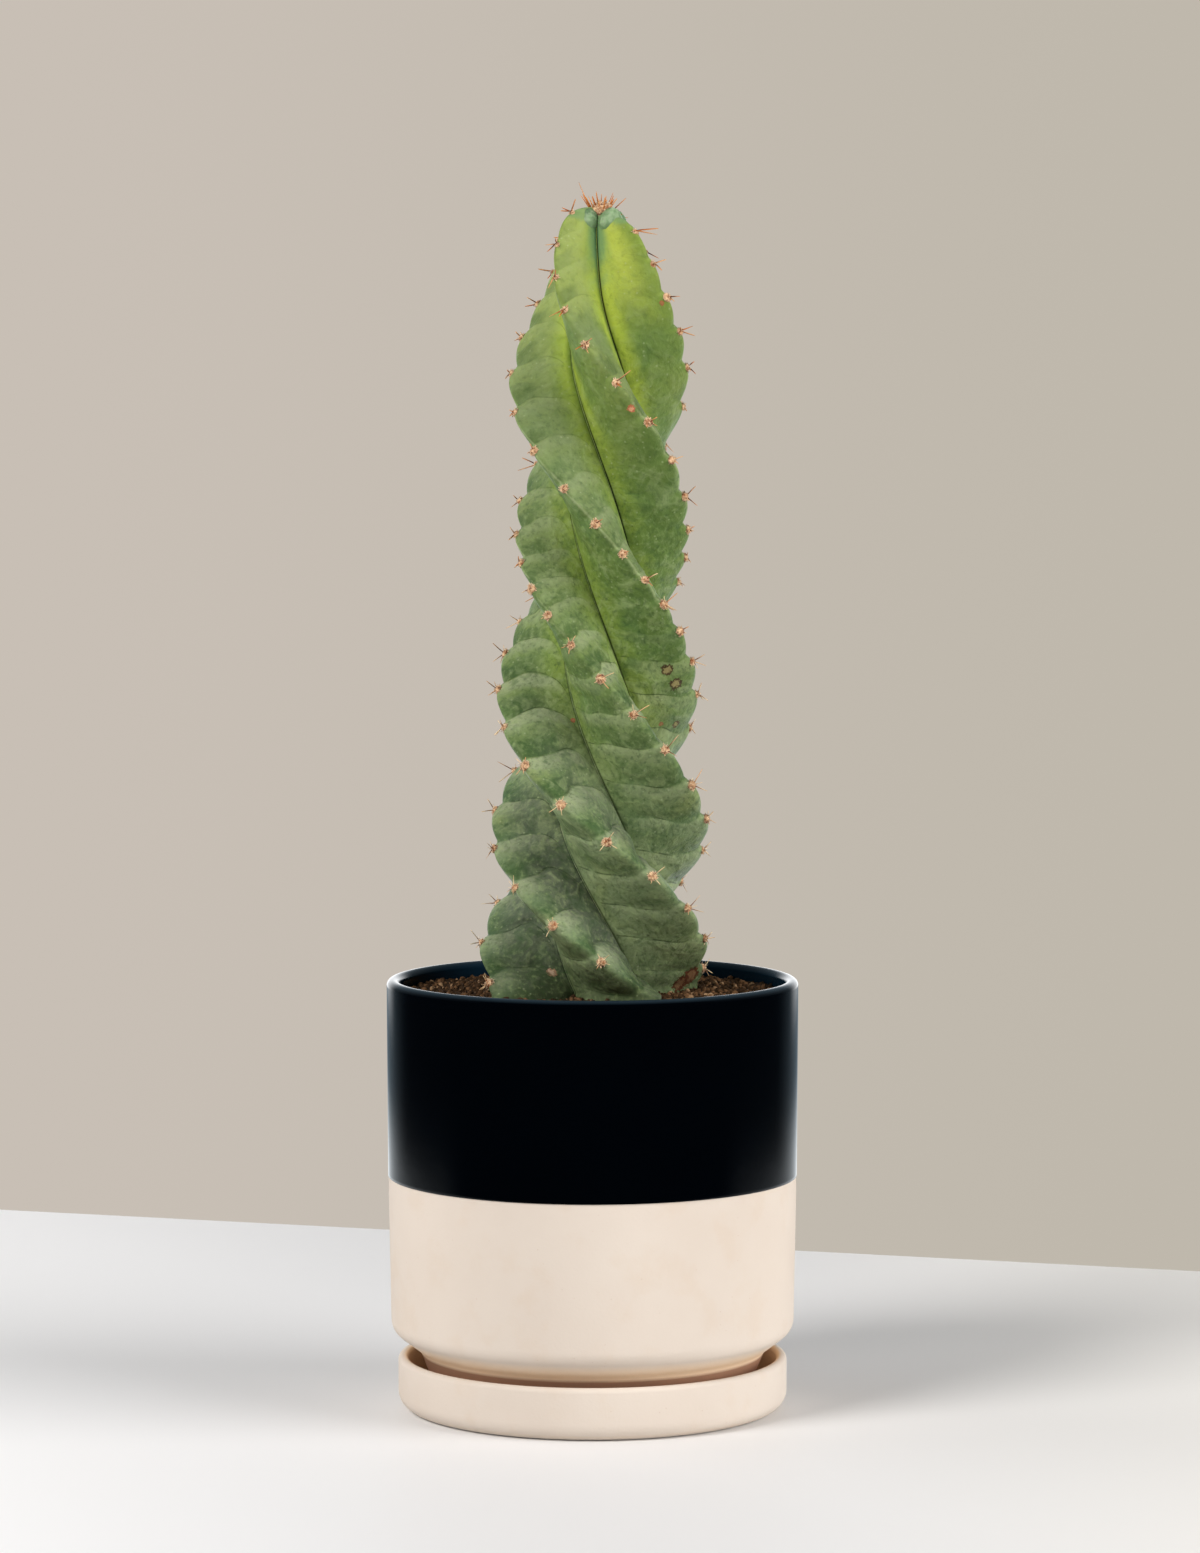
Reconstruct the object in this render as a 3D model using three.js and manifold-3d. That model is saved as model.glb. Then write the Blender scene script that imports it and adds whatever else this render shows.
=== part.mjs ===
// A potted spiral cactus: a twisted columnar stem with four ribs, standing in potting soil in a
// cylinder pot on its saucer. Millimetres, +Z up, seen from -Y. The origin is the middle of the
// saucer's underside.
import * as THREE from "three";
import { mergeVertices } from "three/addons/utils/BufferGeometryUtils.js";
import Module from "manifold-3d";

const wasm = await Module();
wasm.setup();

// Driving dimensions
const GAP = 0.3; // clearance left between pieces that touch
const TURNED_SEGMENTS = 48; // facets round the pot, the saucer and the soil
const ARC_DIVISIONS = 2; // an arc of a turned profile has twice this many steps

const SAUCER_RADIUS = 72.5;
const SAUCER_HEIGHT = 19.7;
const SAUCER_WALL = 4;
const SAUCER_FLOOR = 5;
const SAUCER_REST_RADIUS = 66.5; // the flat that it stands on
const SAUCER_CORNER_HEIGHT = 7.5; // height of the rounded corner under the wall
const SAUCER_INNER_FILLET = 3;

const POT_HEIGHT = 155.2;
const POT_RIM_RADIUS = 76.5;
const POT_LIP = 5; // wall thickness at the rounded lip
const POT_BODY_RADIUS = 75.2; // low on the wall, just above the shoulder
const POT_FOOT_RADIUS = 58;
const POT_FOOT_FLARE = 3; // how much wider the foot is at half the ankle's height
const POT_ANKLE_RADIUS = 64.5; // where the foot meets the chamfer
const POT_ANKLE_HEIGHT = 16.5;
const POT_SHOULDER_RADIUS = 73.8; // where the chamfer meets the wall
const POT_SHOULDER_HEIGHT = 23.6;
const POT_SHOULDER_ROUND = 5; // height over which the shoulder rounds into the wall
const POT_WAIST_RADIUS = 76.1; // at half the pot's height
const POT_FLOOR = 7.5; // thickness of the floor
const POT_WALL = 5.5; // thickness well below the lip
const POT_LIP_DEPTH = 20; // how far down the lip's thinner wall reaches
const POT_INNER_SHOULDER = [69, 31]; // radius and height inside, above the chamfer
const POT_INNER_ANKLE = [57, 18];
const POT_INNER_FLOOR_RADIUS = 55;
const DRAIN_RADIUS = 7;

const SOIL_TOP = 155.6;
const SOIL_RELIEF = 0.45; // half-height of each wave of the uneven surface
const SOIL_WAVES = [5.3, 4.7, 8.1]; // how far apart the waves are, over 2 pi
const SOIL_RINGS = 6;

const RIBS = 4;
const GROUND_LINE = 157; // below it the stem goes straight down into its hole
const STEM_END = 128;
const STEM_TIP = 445.6;
const DOME_START = 375; // the crests start to close towards the tip here
const DOME_SHAPE = 1.45;
const DOME_ROUNDNESS = 0.28;
const CLOSES_EARLY = [3, 0, 1.5, 4]; // how far below the tip each rib's crest closes
const LEAST_CREST = 0.4; // the share of the stem's closing radius that a crest keeps at the tip
const GROOVE_DEPTH = 0.41; // groove radius as a share of the crest radius
const TIP_GROOVE = { from: 385, to: 435, share: 0.68 }; // the grooves cut deeper up to the tip
const UPPER_GROOVE_TURN = 37; // degrees from a crest to the groove above it
const LOWER_GROOVE_TURN = 360 / RIBS - UPPER_GROOVE_TURN;
const FLANK_POWER = 1.7;
const CREST_POWER = 0.55;
const NOTCH_POWER = 0.9; // under 1, a ripple of swellings dips sharply between them
const SHOULDER = 0.68; // under 1, a swelling is fullest close under its upper crease
const SCALLOP_REACH = { from: 230, to: 320, low: 2, high: 6 }; // power of the fade from a crest
const FLANK_STEPS = [0, 0.3, 0.62, 0.88]; // shares of the way from a groove to the crest
const ROW_STEP = 4;
const DOME_ROW_STEPS = [3, 2.5, 2, 1.5, 1, 0.5]; // the rows close up towards the tip

const PAD_SIDES = 4;
const PAD_RADIUS = 1.8;
const PAD_TOP_RADIUS = 1.35;
const PAD_PROUD = 1; // how far a pad stands out of the crest
const PAD_DEPTH = 2.2; // how far it is sunk into the rib
const SPINE_RADIUS = 0.45;
const SPINES_EACH = 2;
const SPINE_LENGTH = [4, 7];
const SPINE_SPLAY = [20, 50]; // degrees that it leans away from straight out
const BEARING_JITTER = 0.15; // as a share of the even spacing of a pad's spines
const ROOT_DEPTH = 0.8; // how far a spine is sunk into its pad
const ROOT_SPREAD = 0.7; // how far from the middle of its pad a spine stands
const WOOL_TOP_RADIUS = 1.6; // the cap of wool at the growing tip
const WOOL_RADIUS = 3.4;
const WOOL_HEIGHT = 2.4;
const WOOL_PROUD = 0.6;
const WOOL_SIDES = 8;
const TUFT_SPINES = 14;
const TUFT_LENGTH = [5.5, 8];
const TUFT_RADIUS = 2.6;
const TUFT_SPLAY = [6, 42]; // degrees that the middle and the outermost spines lean
const TUFT_SINK = [0.3, 0.95]; // how far under the tip those spines are rooted
const RANDOM_SEED = 7;

// A smooth curve through [height, value] pairs, as a function of height.
function curveThrough(knots) {
  const slope = knots.map((_, i) => {
    const before = knots[Math.max(i - 1, 0)];
    const after = knots[Math.min(i + 1, knots.length - 1)];
    return (after[1] - before[1]) / (after[0] - before[0]);
  });
  return (height) => {
    const last = knots.length - 2;
    const found = knots.findIndex((knot) => knot[0] > height) - 1;
    const i = found < 0 ? (height < knots[0][0] ? 0 : last) : Math.min(found, last);
    const span = knots[i + 1][0] - knots[i][0];
    const t = THREE.MathUtils.clamp((height - knots[i][0]) / span, 0, 1);
    const rise = knots[i + 1][1] - knots[i][1];
    const bend = (1 - t) * (slope[i] * span - rise) - t * (slope[i + 1] * span - rise);
    return knots[i][1] + rise * t + t * (1 - t) * bend;
  };
}

// Mean crest radius of the ribs, before the dome closes them at the tip.
const crestRadius = curveThrough([
  [150, 44],
  [172, 40],
  [220, 39.8],
  [255, 37],
  [290, 33.3],
  [325, 31.3],
  [360, 32],
  [446, 31],
]);
// Direction of the first rib, in degrees from the front towards the right. It falls as the
// stem rises, so the ribs climb to the left in front.
const twist = curveThrough([
  [150, 492],
  [220, 354],
  [290, 241],
  [360, 129],
  [395, 75],
  [415, 51],
  [446, 31],
]);
// The ribs don't grow quite alike. At these heights each crest turns this many degrees ahead of
// its even spacing, and stands this far out beyond the mean.
const WANDER_HEIGHTS = [160, 230, 300, 370, 425];
const turnAhead = [
  [1, 1, 1, 5, 10],
  [3, -1, -4, 3, 3],
  [8, -2, 0, -3, -3],
  [-6, 0, 4, -5, -5],
].map((turns) => curveThrough(turns.map((turn, i) => [WANDER_HEIGHTS[i], turn])));
const standProud = [
  [0, 1.5, 1, 0, 0],
  [-1.5, -1.5, -0.5, 0, 0],
  [2, 0.5, -0.5, 1.5, 1.5],
  [0, 0, 0, -1.5, -1.5],
].map((lengths) => curveThrough(lengths.map((length, i) => [WANDER_HEIGHTS[i], length])));
// How many areoles a crest has between a height and the tip.
const areoleCount = curveThrough([
  [150, 23.8],
  [185, 21.1],
  [220, 18.4],
  [255, 15.8],
  [290, 13],
  [325, 9.4],
  [360, 6.7],
  [395, 4.2],
  [446, 0],
]);
// The share of one areole step by which each rib's row starts below the tip.
const AREOLE_PHASE = [0.8, 0.21, 0.97, 0.37];
// How far the stem leans to the right of the pot's axis.
const lean = curveThrough([
  [150, 0.8],
  [250, 2.4],
  [350, 3.6],
  [446, 3],
]);
// Height of the scallops between areoles, and of the pillows between the creases of a flank.
const scallopHeight = curveThrough([
  [150, 2.8],
  [250, 2.4],
  [350, 2.6],
  [420, 2],
  [446, 0.6],
]);
const pillowHeight = curveThrough([
  [150, 2],
  [230, 1.6],
  [275, 0.9],
  [305, 0.4],
  [340, 0.2],
  [446, 0.1],
]);
const LOWER_FOLDS = 0.3; // the folds of a lower flank, as a share of those of an upper one
// A crease crosses the crest a little above its areole. On the upper flank it climbs and then
// drops into the groove, and on the lower flank it dips.
const CREST_RISE = 2.2;
const UPPER_RISE = 4;
const UPPER_DROP = 12;
const LOWER_DIP = 3.5;

// A small seeded generator, so that every build places the spines alike.
function seededRandom(seed) {
  let state = seed;
  return (low, high) => {
    state = (state * 1664525 + 1013904223) % 4294967296;
    return low + ((high - low) * state) / 4294967296;
  };
}

// Solids from three.js geometries, and meshes from solids
function solidOf(geometry) {
  const bare = geometry.clone();
  bare.deleteAttribute("normal");
  bare.deleteAttribute("uv");
  const merged = mergeVertices(bare);
  return new wasm.Manifold(
    new wasm.Mesh({
      numProp: 3,
      vertProperties: merged.getAttribute("position").array,
      triVerts: new Uint32Array(merged.index.array),
    }),
  );
}

function geometryOf(solid) {
  const mesh = solid.getMesh();
  return new THREE.BufferGeometry()
    .setAttribute("position", new THREE.BufferAttribute(mesh.vertProperties, 3))
    .setIndex(new THREE.BufferAttribute(mesh.triVerts, 1));
}

// A round piece turned about Z from a closed path of [radius, height].
function turned(path) {
  return new THREE.LatheGeometry(path.getPoints(ARC_DIVISIONS), TURNED_SEGMENTS).rotateX(Math.PI / 2);
}

// Saucer
function saucerGeometry() {
  const inner = SAUCER_RADIUS - SAUCER_WALL;
  const lip = SAUCER_WALL / 2;
  const corner = SAUCER_RADIUS - SAUCER_REST_RADIUS;
  const path = new THREE.Path().moveTo(0, 0);
  path.lineTo(SAUCER_REST_RADIUS, 0);
  path.absellipse(
    SAUCER_REST_RADIUS, SAUCER_CORNER_HEIGHT, corner, SAUCER_CORNER_HEIGHT, -Math.PI / 2, 0);
  path.absellipse(inner + lip, SAUCER_HEIGHT - lip, lip, lip, 0, Math.PI);
  path.absellipse(
    inner - SAUCER_INNER_FILLET, SAUCER_FLOOR + SAUCER_INNER_FILLET,
    SAUCER_INNER_FILLET, SAUCER_INNER_FILLET, 0, -Math.PI / 2, true);
  path.lineTo(0, SAUCER_FLOOR);
  return turned(path);
}

// Pot: heights in its profile are above the table, and its foot stands on the saucer's floor.
const POT_BASE = SAUCER_FLOOR + GAP;
const POT_TOP = POT_BASE + POT_HEIGHT;
// The inside of the pot below its lip, down to the floor, as [radius, height].
const POT_INSIDE = [
  [POT_RIM_RADIUS - POT_WALL, POT_TOP - POT_LIP_DEPTH],
  [POT_INNER_SHOULDER[0], POT_BASE + POT_INNER_SHOULDER[1]],
  [POT_INNER_ANKLE[0], POT_BASE + POT_INNER_ANKLE[1]],
  [POT_INNER_FLOOR_RADIUS, POT_BASE + POT_FLOOR],
];

function potGeometry() {
  const path = new THREE.Path().moveTo(DRAIN_RADIUS, POT_BASE);
  path.lineTo(POT_FOOT_RADIUS, POT_BASE);
  path.lineTo(POT_FOOT_RADIUS + POT_FOOT_FLARE, POT_BASE + POT_ANKLE_HEIGHT / 2);
  path.lineTo(POT_ANKLE_RADIUS, POT_BASE + POT_ANKLE_HEIGHT);
  path.lineTo(POT_SHOULDER_RADIUS, POT_BASE + POT_SHOULDER_HEIGHT);
  path.lineTo(POT_BODY_RADIUS, POT_BASE + POT_SHOULDER_HEIGHT + POT_SHOULDER_ROUND);
  path.lineTo(POT_WAIST_RADIUS, POT_BASE + POT_HEIGHT / 2);
  path.absarc(POT_RIM_RADIUS - POT_LIP / 2, POT_TOP - POT_LIP / 2, POT_LIP / 2, 0, Math.PI);
  POT_INSIDE.forEach(([radius, height]) => path.lineTo(radius, height));
  path.lineTo(DRAIN_RADIUS, POT_BASE + POT_FLOOR);
  path.lineTo(DRAIN_RADIUS, POT_BASE);
  return turned(path);
}

// Stem
const degrees = THREE.MathUtils.degToRad;

// How far along its areole step a height lies on one rib: whole numbers are areoles.
function areoleStep(rib, height) {
  return areoleCount(height) - AREOLE_PHASE[rib];
}

// How far above its areole a crease lies on a flank.
function creaseRise(side, along) {
  const bare = 1 - along;
  if (side > 0) return CREST_RISE + UPPER_RISE * (1 - along ** 3) - UPPER_DROP * bare ** 16;
  return CREST_RISE + LOWER_DIP * (along ** 10 - 1 + bare ** 1.5);
}

// A ripple of swellings with a sharp dip at every whole step, from -0.5 to 0.5.
function swelling(step) {
  const belowCrease = (step - Math.floor(step)) ** SHOULDER;
  return Math.sin(Math.PI * belowCrease) ** NOTCH_POWER - 0.5;
}

// The share of its full radius that the stem keeps as it closes towards the tip.
function dome(height) {
  const share = THREE.MathUtils.clamp((height - DOME_START) / (STEM_TIP - DOME_START), 0, 1);
  return (1 - share ** DOME_SHAPE) ** DOME_ROUNDNESS;
}

// A point of the horizontal section, in the rib's own directions: out along the crest, and
// across it. Side is 1 on the upper flank and -1 on the lower one, and along runs from 0 in the
// groove to 1 on the crest.
function ribPoint(rib, side, along, height) {
  const { lerp, smoothstep } = THREE.MathUtils;
  const closing = dome(height);
  const crestClosing = Math.max(dome(height + CLOSES_EARLY[rib]), LEAST_CREST * closing);
  const deeper = lerp(1, TIP_GROOVE.share, smoothstep(height, TIP_GROOVE.from, TIP_GROOVE.to));
  const groove = GROOVE_DEPTH * deeper * crestRadius(height) * closing;
  const ahead = turnAhead[rib](height);
  const turn = degrees(side > 0 ? UPPER_GROOVE_TURN - ahead : LOWER_GROOVE_TURN + ahead);
  const grooveOut = groove * Math.cos(turn);
  const grooveAcross = groove * Math.sin(turn);
  const swell = swelling(areoleStep(rib, height - creaseRise(side, along)));
  const { from, to, low, high } = SCALLOP_REACH;
  const scallop = scallopHeight(height) * swell * along ** lerp(low, high, smoothstep(height, from, to));
  const crest = (crestRadius(height) + standProud[rib](height) + scallop) * crestClosing;
  const pillow = pillowHeight(height) * swell * closing * (side > 0 ? 1 : LOWER_FOLDS);
  const bare = grooveAcross * (1 - along ** FLANK_POWER) ** CREST_POWER;
  return {
    out: grooveOut + (crest - grooveOut) * along,
    across: side * (bare + pillow * 4 * along * (1 - along)),
  };
}

// Unit directions at a height: out along a rib's crest, and across it to the right.
function ribFrame(rib, height) {
  const angle = degrees(twist(height) + turnAhead[rib](height) - (360 / RIBS) * rib);
  return {
    out: new THREE.Vector3(Math.sin(angle), -Math.cos(angle), 0),
    across: new THREE.Vector3(Math.cos(angle), Math.sin(angle), 0),
  };
}

function stemPoint({ rib, side, along }, height) {
  const shaped = Math.max(height, GROUND_LINE);
  const { out, across } = ribFrame(rib, shaped);
  const point = ribPoint(rib, side, along, shaped);
  return new THREE.Vector3(lean(shaped), 0, height)
    .addScaledVector(out, point.out)
    .addScaledVector(across, point.across);
}

// The columns of vertices round the stem, turning from the right of one groove to the next.
const COLUMNS = [];
for (let sector = 0; sector < RIBS; sector++) {
  const rib = (RIBS - sector) % RIBS;
  FLANK_STEPS.forEach((along) => COLUMNS.push({ rib, side: -1, along }));
  COLUMNS.push({ rib, side: 1, along: 1 });
  FLANK_STEPS.slice(1).reverse().forEach((along) => COLUMNS.push({ rib, side: 1, along }));
}

// The heights of the rows, from the cut end in the soil to the tip.
function rowHeights() {
  const domeRows = DOME_ROW_STEPS.reduce((sum, step) => sum + step);
  const straight = STEM_TIP - domeRows - GROUND_LINE;
  const steps = Math.round(straight / ROW_STEP);
  const rows = [STEM_END, STEM_END];
  for (let i = 0; i <= steps; i++) rows.push(GROUND_LINE + (straight * i) / steps);
  DOME_ROW_STEPS.forEach((step) => rows.push(rows.at(-1) + step));
  return rows;
}

function stemBody() {
  const rows = rowHeights();
  const last = rows.length - 1;
  const grid = new THREE.SphereGeometry(1, COLUMNS.length, last);
  const position = grid.getAttribute("position");
  const uv = grid.getAttribute("uv");
  for (let i = 0; i < position.count; i++) {
    const row = Math.round(uv.getY(i) * last);
    const column = COLUMNS[Math.round(uv.getX(i) * COLUMNS.length) % COLUMNS.length];
    const onAxis = row === 0 || row === last;
    const point = onAxis
      ? new THREE.Vector3(lean(Math.max(rows[row], GROUND_LINE)), 0, rows[row])
      : stemPoint(column, rows[row]);
    position.setXYZ(i, point.x, point.y, point.z);
  }
  return solidOf(grid);
}

// Places a geometry whose axis is Y so that the axis points along a direction.
function aimed(geometry, direction, centre) {
  const turn = new THREE.Quaternion().setFromUnitVectors(new THREE.Vector3(0, 1, 0), direction);
  return geometry.applyQuaternion(turn).translate(centre.x, centre.y, centre.z);
}

// A direction that leans away from an axis by splay, towards a bearing round it.
function splayed(axis, splay, bearing) {
  const side = new THREE.Vector3(0, 0, 1).cross(axis);
  if (side.lengthSq() < 1e-6) side.set(1, 0, 0);
  side.normalize().applyAxisAngle(axis, bearing);
  return axis.clone().multiplyScalar(Math.cos(splay)).addScaledVector(side, Math.sin(splay));
}

function spine(root, direction, length) {
  const centre = root.clone().addScaledVector(direction, length / 2 - ROOT_DEPTH);
  return solidOf(aimed(new THREE.ConeGeometry(SPINE_RADIUS, length, 3), direction, centre));
}

// One woolly pad on a crest, just under a dip, with its spines.
function areole(rib, height, random) {
  const crest = { rib, side: 1, along: 1 };
  const at = stemPoint(crest, height);
  const above = stemPoint(crest, height + ROW_STEP);
  const rising = above.sub(stemPoint(crest, height - ROW_STEP)).normalize();
  const outward = ribFrame(rib, height).out;
  outward.addScaledVector(rising, -outward.dot(rising)).normalize();
  const length = PAD_PROUD + PAD_DEPTH;
  const pad = new THREE.CylinderGeometry(PAD_TOP_RADIUS, PAD_RADIUS, length, PAD_SIDES);
  const middle = at.clone().addScaledVector(outward, PAD_PROUD - length / 2);
  const pieces = [solidOf(aimed(pad, outward, middle))];
  const top = at.addScaledVector(outward, PAD_PROUD);
  const firstBearing = random(0, 2 * Math.PI);
  for (let i = 0; i < SPINES_EACH; i++) {
    const share = (i + random(-BEARING_JITTER, BEARING_JITTER)) / SPINES_EACH;
    const bearing = firstBearing + 2 * Math.PI * share;
    const root = splayed(outward, Math.PI / 2, bearing).multiplyScalar(ROOT_SPREAD).add(top);
    const direction = splayed(outward, degrees(random(...SPINE_SPLAY)), bearing);
    pieces.push(spine(root, direction, random(...SPINE_LENGTH)));
  }
  return pieces;
}

// The height where a rib's row has a given whole areole step, found by halving.
function areoleHeight(rib, step) {
  let low = GROUND_LINE;
  let high = STEM_TIP;
  for (let i = 0; i < 30; i++) {
    const middle = (low + high) / 2;
    if (areoleStep(rib, middle) > step) low = middle;
    else high = middle;
  }
  return (low + high) / 2;
}

// The growing tip: a cap of wool with a tuft of new spines.
function tuft(random) {
  const up = new THREE.Vector3(0, 0, 1);
  const tip = new THREE.Vector3(lean(STEM_TIP), 0, STEM_TIP);
  const wool = new THREE.CylinderGeometry(WOOL_TOP_RADIUS, WOOL_RADIUS, WOOL_HEIGHT, WOOL_SIDES);
  const woolMiddle = tip.clone().setZ(STEM_TIP + WOOL_PROUD - WOOL_HEIGHT / 2);
  const pieces = [solidOf(aimed(wool, up, woolMiddle))];
  const goldenAngle = Math.PI * (3 - Math.sqrt(5));
  for (let i = 0; i < TUFT_SPINES; i++) {
    const bearing = goldenAngle * i;
    const outwards = Math.sqrt((i + 0.5) / TUFT_SPINES);
    const away = splayed(up, Math.PI / 2, bearing);
    const root = tip.clone().addScaledVector(away, TUFT_RADIUS * outwards);
    root.z -= THREE.MathUtils.lerp(...TUFT_SINK, outwards);
    const direction = splayed(up, degrees(THREE.MathUtils.lerp(...TUFT_SPLAY, outwards)), bearing);
    pieces.push(spine(root, direction, random(...TUFT_LENGTH)));
  }
  return pieces;
}

function stemGeometry() {
  const random = seededRandom(RANDOM_SEED);
  const pieces = [stemBody()];
  for (let rib = 0; rib < RIBS; rib++) {
    const lowest = Math.floor(areoleStep(rib, GROUND_LINE + PAD_RADIUS));
    for (let step = 0; step <= lowest; step++) {
      pieces.push(...areole(rib, areoleHeight(rib, step), random));
    }
  }
  return geometryOf(wasm.Manifold.union([...pieces, ...tuft(random)]));
}

// Soil: gentle waves across and along, and one that runs aslant
function relief(x, y) {
  const [across, along, aslant] = SOIL_WAVES;
  const bumps = Math.sin(x / across + 1) * Math.cos(y / along);
  return SOIL_RELIEF * (bumps + Math.sin((x + 2 * y) / aslant));
}

// The outline of the stem at the ground line, pushed out by a clearance at every corner.
function stemOutline(clearance) {
  const points = COLUMNS.map((column) => stemPoint(column, GROUND_LINE));
  const count = points.length;
  const normal = (i) => {
    const edge = points[(i + 1) % count].clone().sub(points[i % count]);
    return new THREE.Vector2(edge.y, -edge.x).normalize();
  };
  return points.map((point, i) => {
    const before = normal(i + count - 1);
    const after = normal(i);
    const push = before.clone().add(after).multiplyScalar(clearance / (1 + before.dot(after)));
    return new THREE.Vector2(point.x, point.y).add(push);
  });
}

function soilGeometry() {
  const bottom = POT_INSIDE.at(-1)[1] + GAP;
  const [top, ...wall] = POT_INSIDE.map(([radius, height]) => [radius - GAP, height + GAP]);
  const path = new THREE.Path().moveTo(0, bottom);
  wall.reverse().forEach(([radius, height]) => path.lineTo(radius, height));
  for (let ring = SOIL_RINGS; ring >= 0; ring--) path.lineTo((top[0] * ring) / SOIL_RINGS, SOIL_TOP);
  const body = turned(path);
  const position = body.getAttribute("position");
  for (let i = 0; i < position.count; i++) {
    if (position.getZ(i) < SOIL_TOP - GAP) continue;
    position.setZ(i, SOIL_TOP + relief(position.getX(i), position.getY(i)));
  }
  const hole = new THREE.ExtrudeGeometry(new THREE.Shape(stemOutline(GAP)), {
    depth: POT_TOP - STEM_END,
    bevelEnabled: false,
  }).translate(0, 0, STEM_END - GAP);
  return geometryOf(solidOf(body).subtract(solidOf(hole)));
}

// The finished part
function addPiece(name, geometry, color, roughness) {
  const material = new THREE.MeshStandardMaterial({ color, roughness, metalness: 0 });
  const mesh = new THREE.Mesh(geometry, material);
  mesh.name = name;
  pottedCactus.add(mesh);
}

const pottedCactus = new THREE.Group();
addPiece("saucer", saucerGeometry(), 0xe6d3c0, 0.85);
addPiece("pot", potGeometry(), 0x10141f, 0.35);
addPiece("soil", soilGeometry(), 0x4b382b, 1);
addPiece("cactus_stem", stemGeometry(), 0x5f8350, 0.55);

export default pottedCactus;
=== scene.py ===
# %% [markdown]
# A potted spiral cactus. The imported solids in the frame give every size, and this lesson gives
# them their looks: a skin with grooves, creases and bloom, woolly areoles with their spines, a
# pot that is glazed to its waist and bare below, and crumbly soil. Each step says what the real
# thing is like, how it could be made, and why it is made as it is here.

# %% Load the frame
import math
import random

import bmesh
import bpy
import numpy as np
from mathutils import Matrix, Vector


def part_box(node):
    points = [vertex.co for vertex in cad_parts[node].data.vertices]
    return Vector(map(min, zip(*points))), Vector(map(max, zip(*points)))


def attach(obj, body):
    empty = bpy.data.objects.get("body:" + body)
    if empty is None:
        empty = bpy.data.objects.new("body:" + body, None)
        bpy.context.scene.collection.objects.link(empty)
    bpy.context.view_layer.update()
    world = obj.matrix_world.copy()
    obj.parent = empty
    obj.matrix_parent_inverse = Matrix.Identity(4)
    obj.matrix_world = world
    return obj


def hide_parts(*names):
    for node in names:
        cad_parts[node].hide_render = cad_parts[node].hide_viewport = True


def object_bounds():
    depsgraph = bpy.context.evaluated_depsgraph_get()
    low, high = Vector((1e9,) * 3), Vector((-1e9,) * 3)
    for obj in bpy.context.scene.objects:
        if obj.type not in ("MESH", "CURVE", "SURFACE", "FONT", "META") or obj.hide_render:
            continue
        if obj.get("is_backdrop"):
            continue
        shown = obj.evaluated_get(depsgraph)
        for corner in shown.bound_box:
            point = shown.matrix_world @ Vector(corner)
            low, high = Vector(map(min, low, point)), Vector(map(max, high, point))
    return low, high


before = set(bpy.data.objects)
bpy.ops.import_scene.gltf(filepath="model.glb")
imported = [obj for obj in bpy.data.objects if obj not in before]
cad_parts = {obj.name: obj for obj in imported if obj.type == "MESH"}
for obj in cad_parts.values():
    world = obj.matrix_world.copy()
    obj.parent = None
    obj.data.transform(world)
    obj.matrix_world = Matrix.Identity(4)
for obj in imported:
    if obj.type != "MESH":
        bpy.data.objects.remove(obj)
cad_box = [[float(value) for value in corner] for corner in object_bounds()]
print("nodes in the frame:", sorted(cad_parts))

mm = 0.001
scene = bpy.context.scene
scene.view_settings.view_transform = "Standard"

# %% [markdown]
# The camera comes first, because every later choice is judged through it. A long lens from
# nearly two metres away keeps the pot's sides almost parallel, as a product photograph does.
# It stands a little above the middle of the plant and looks down by a few degrees, which
# opens the rims of the pot and the saucer into thin ellipses.

# %% Camera
CAMERA_PLACE = (2.8 * mm, -1916 * mm, 373 * mm)
CAMERA_PITCH = 4.102  # degrees down from level
CAMERA_LENS = 120.08
SENSOR_HEIGHT = 36
NEAREST_SEEN = 0.05

camera_data = bpy.data.cameras.new("camera")
camera_data.sensor_fit = "VERTICAL"
camera_data.sensor_height = SENSOR_HEIGHT
camera_data.lens = CAMERA_LENS
camera_data.clip_start = NEAREST_SEEN
camera = bpy.data.objects.new("camera", camera_data)
camera.location = CAMERA_PLACE
camera.rotation_euler = (math.radians(90 - CAMERA_PITCH), 0, 0)
scene.collection.objects.link(camera)
scene.camera = camera
print("camera at", tuple(round(value, 3) for value in camera.location))

# %% [markdown]
# Node trees are easier to read as formulas. A Wire stands for one output of a tree, and the
# ordinary signs for sums and products add Math nodes to it. Geometry and shader trees share the
# same Math node, so one small class serves both. A socket knows the tree that it belongs to, so
# a helper that is given a wire needs no tree.

# %% Formulas as nodes
class Wire:
    """One output socket of a node tree, which can be used in a formula like a number."""

    def __init__(self, socket):
        self.socket = socket
        self.tree = socket.id_data

    def math(self, operation, *others, first=None):
        node = self.tree.nodes.new("ShaderNodeMath")
        node.operation = operation
        values = (self, *others) if first is None else (first, self)
        for slot, value in zip(node.inputs, values):
            plug(value, slot)
        return Wire(node.outputs[0])

    def fit(self, low, high, to_low=0, to_high=1, smooth=True):
        """Maps the range from low to high to another one, and stays inside it."""
        node = self.tree.nodes.new("ShaderNodeMapRange")
        node.interpolation_type = "SMOOTHSTEP" if smooth else "LINEAR"
        for slot, value in zip(node.inputs, (self, low, high, to_low, to_high)):
            plug(value, slot)
        return Wire(node.outputs[0])


def sign(operation, turned=False):
    """A method for one sign of a formula. Turned, the other value stands before the wire."""
    def method(self, other):
        return self.math(operation, first=other) if turned else self.math(operation, other)
    return method


for word, operation in (("add", "ADD"), ("sub", "SUBTRACT"), ("mul", "MULTIPLY"),
                        ("truediv", "DIVIDE"), ("pow", "POWER")):
    setattr(Wire, f"__{word}__", sign(operation))
    setattr(Wire, f"__r{word}__", sign(operation, turned=True))


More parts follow.
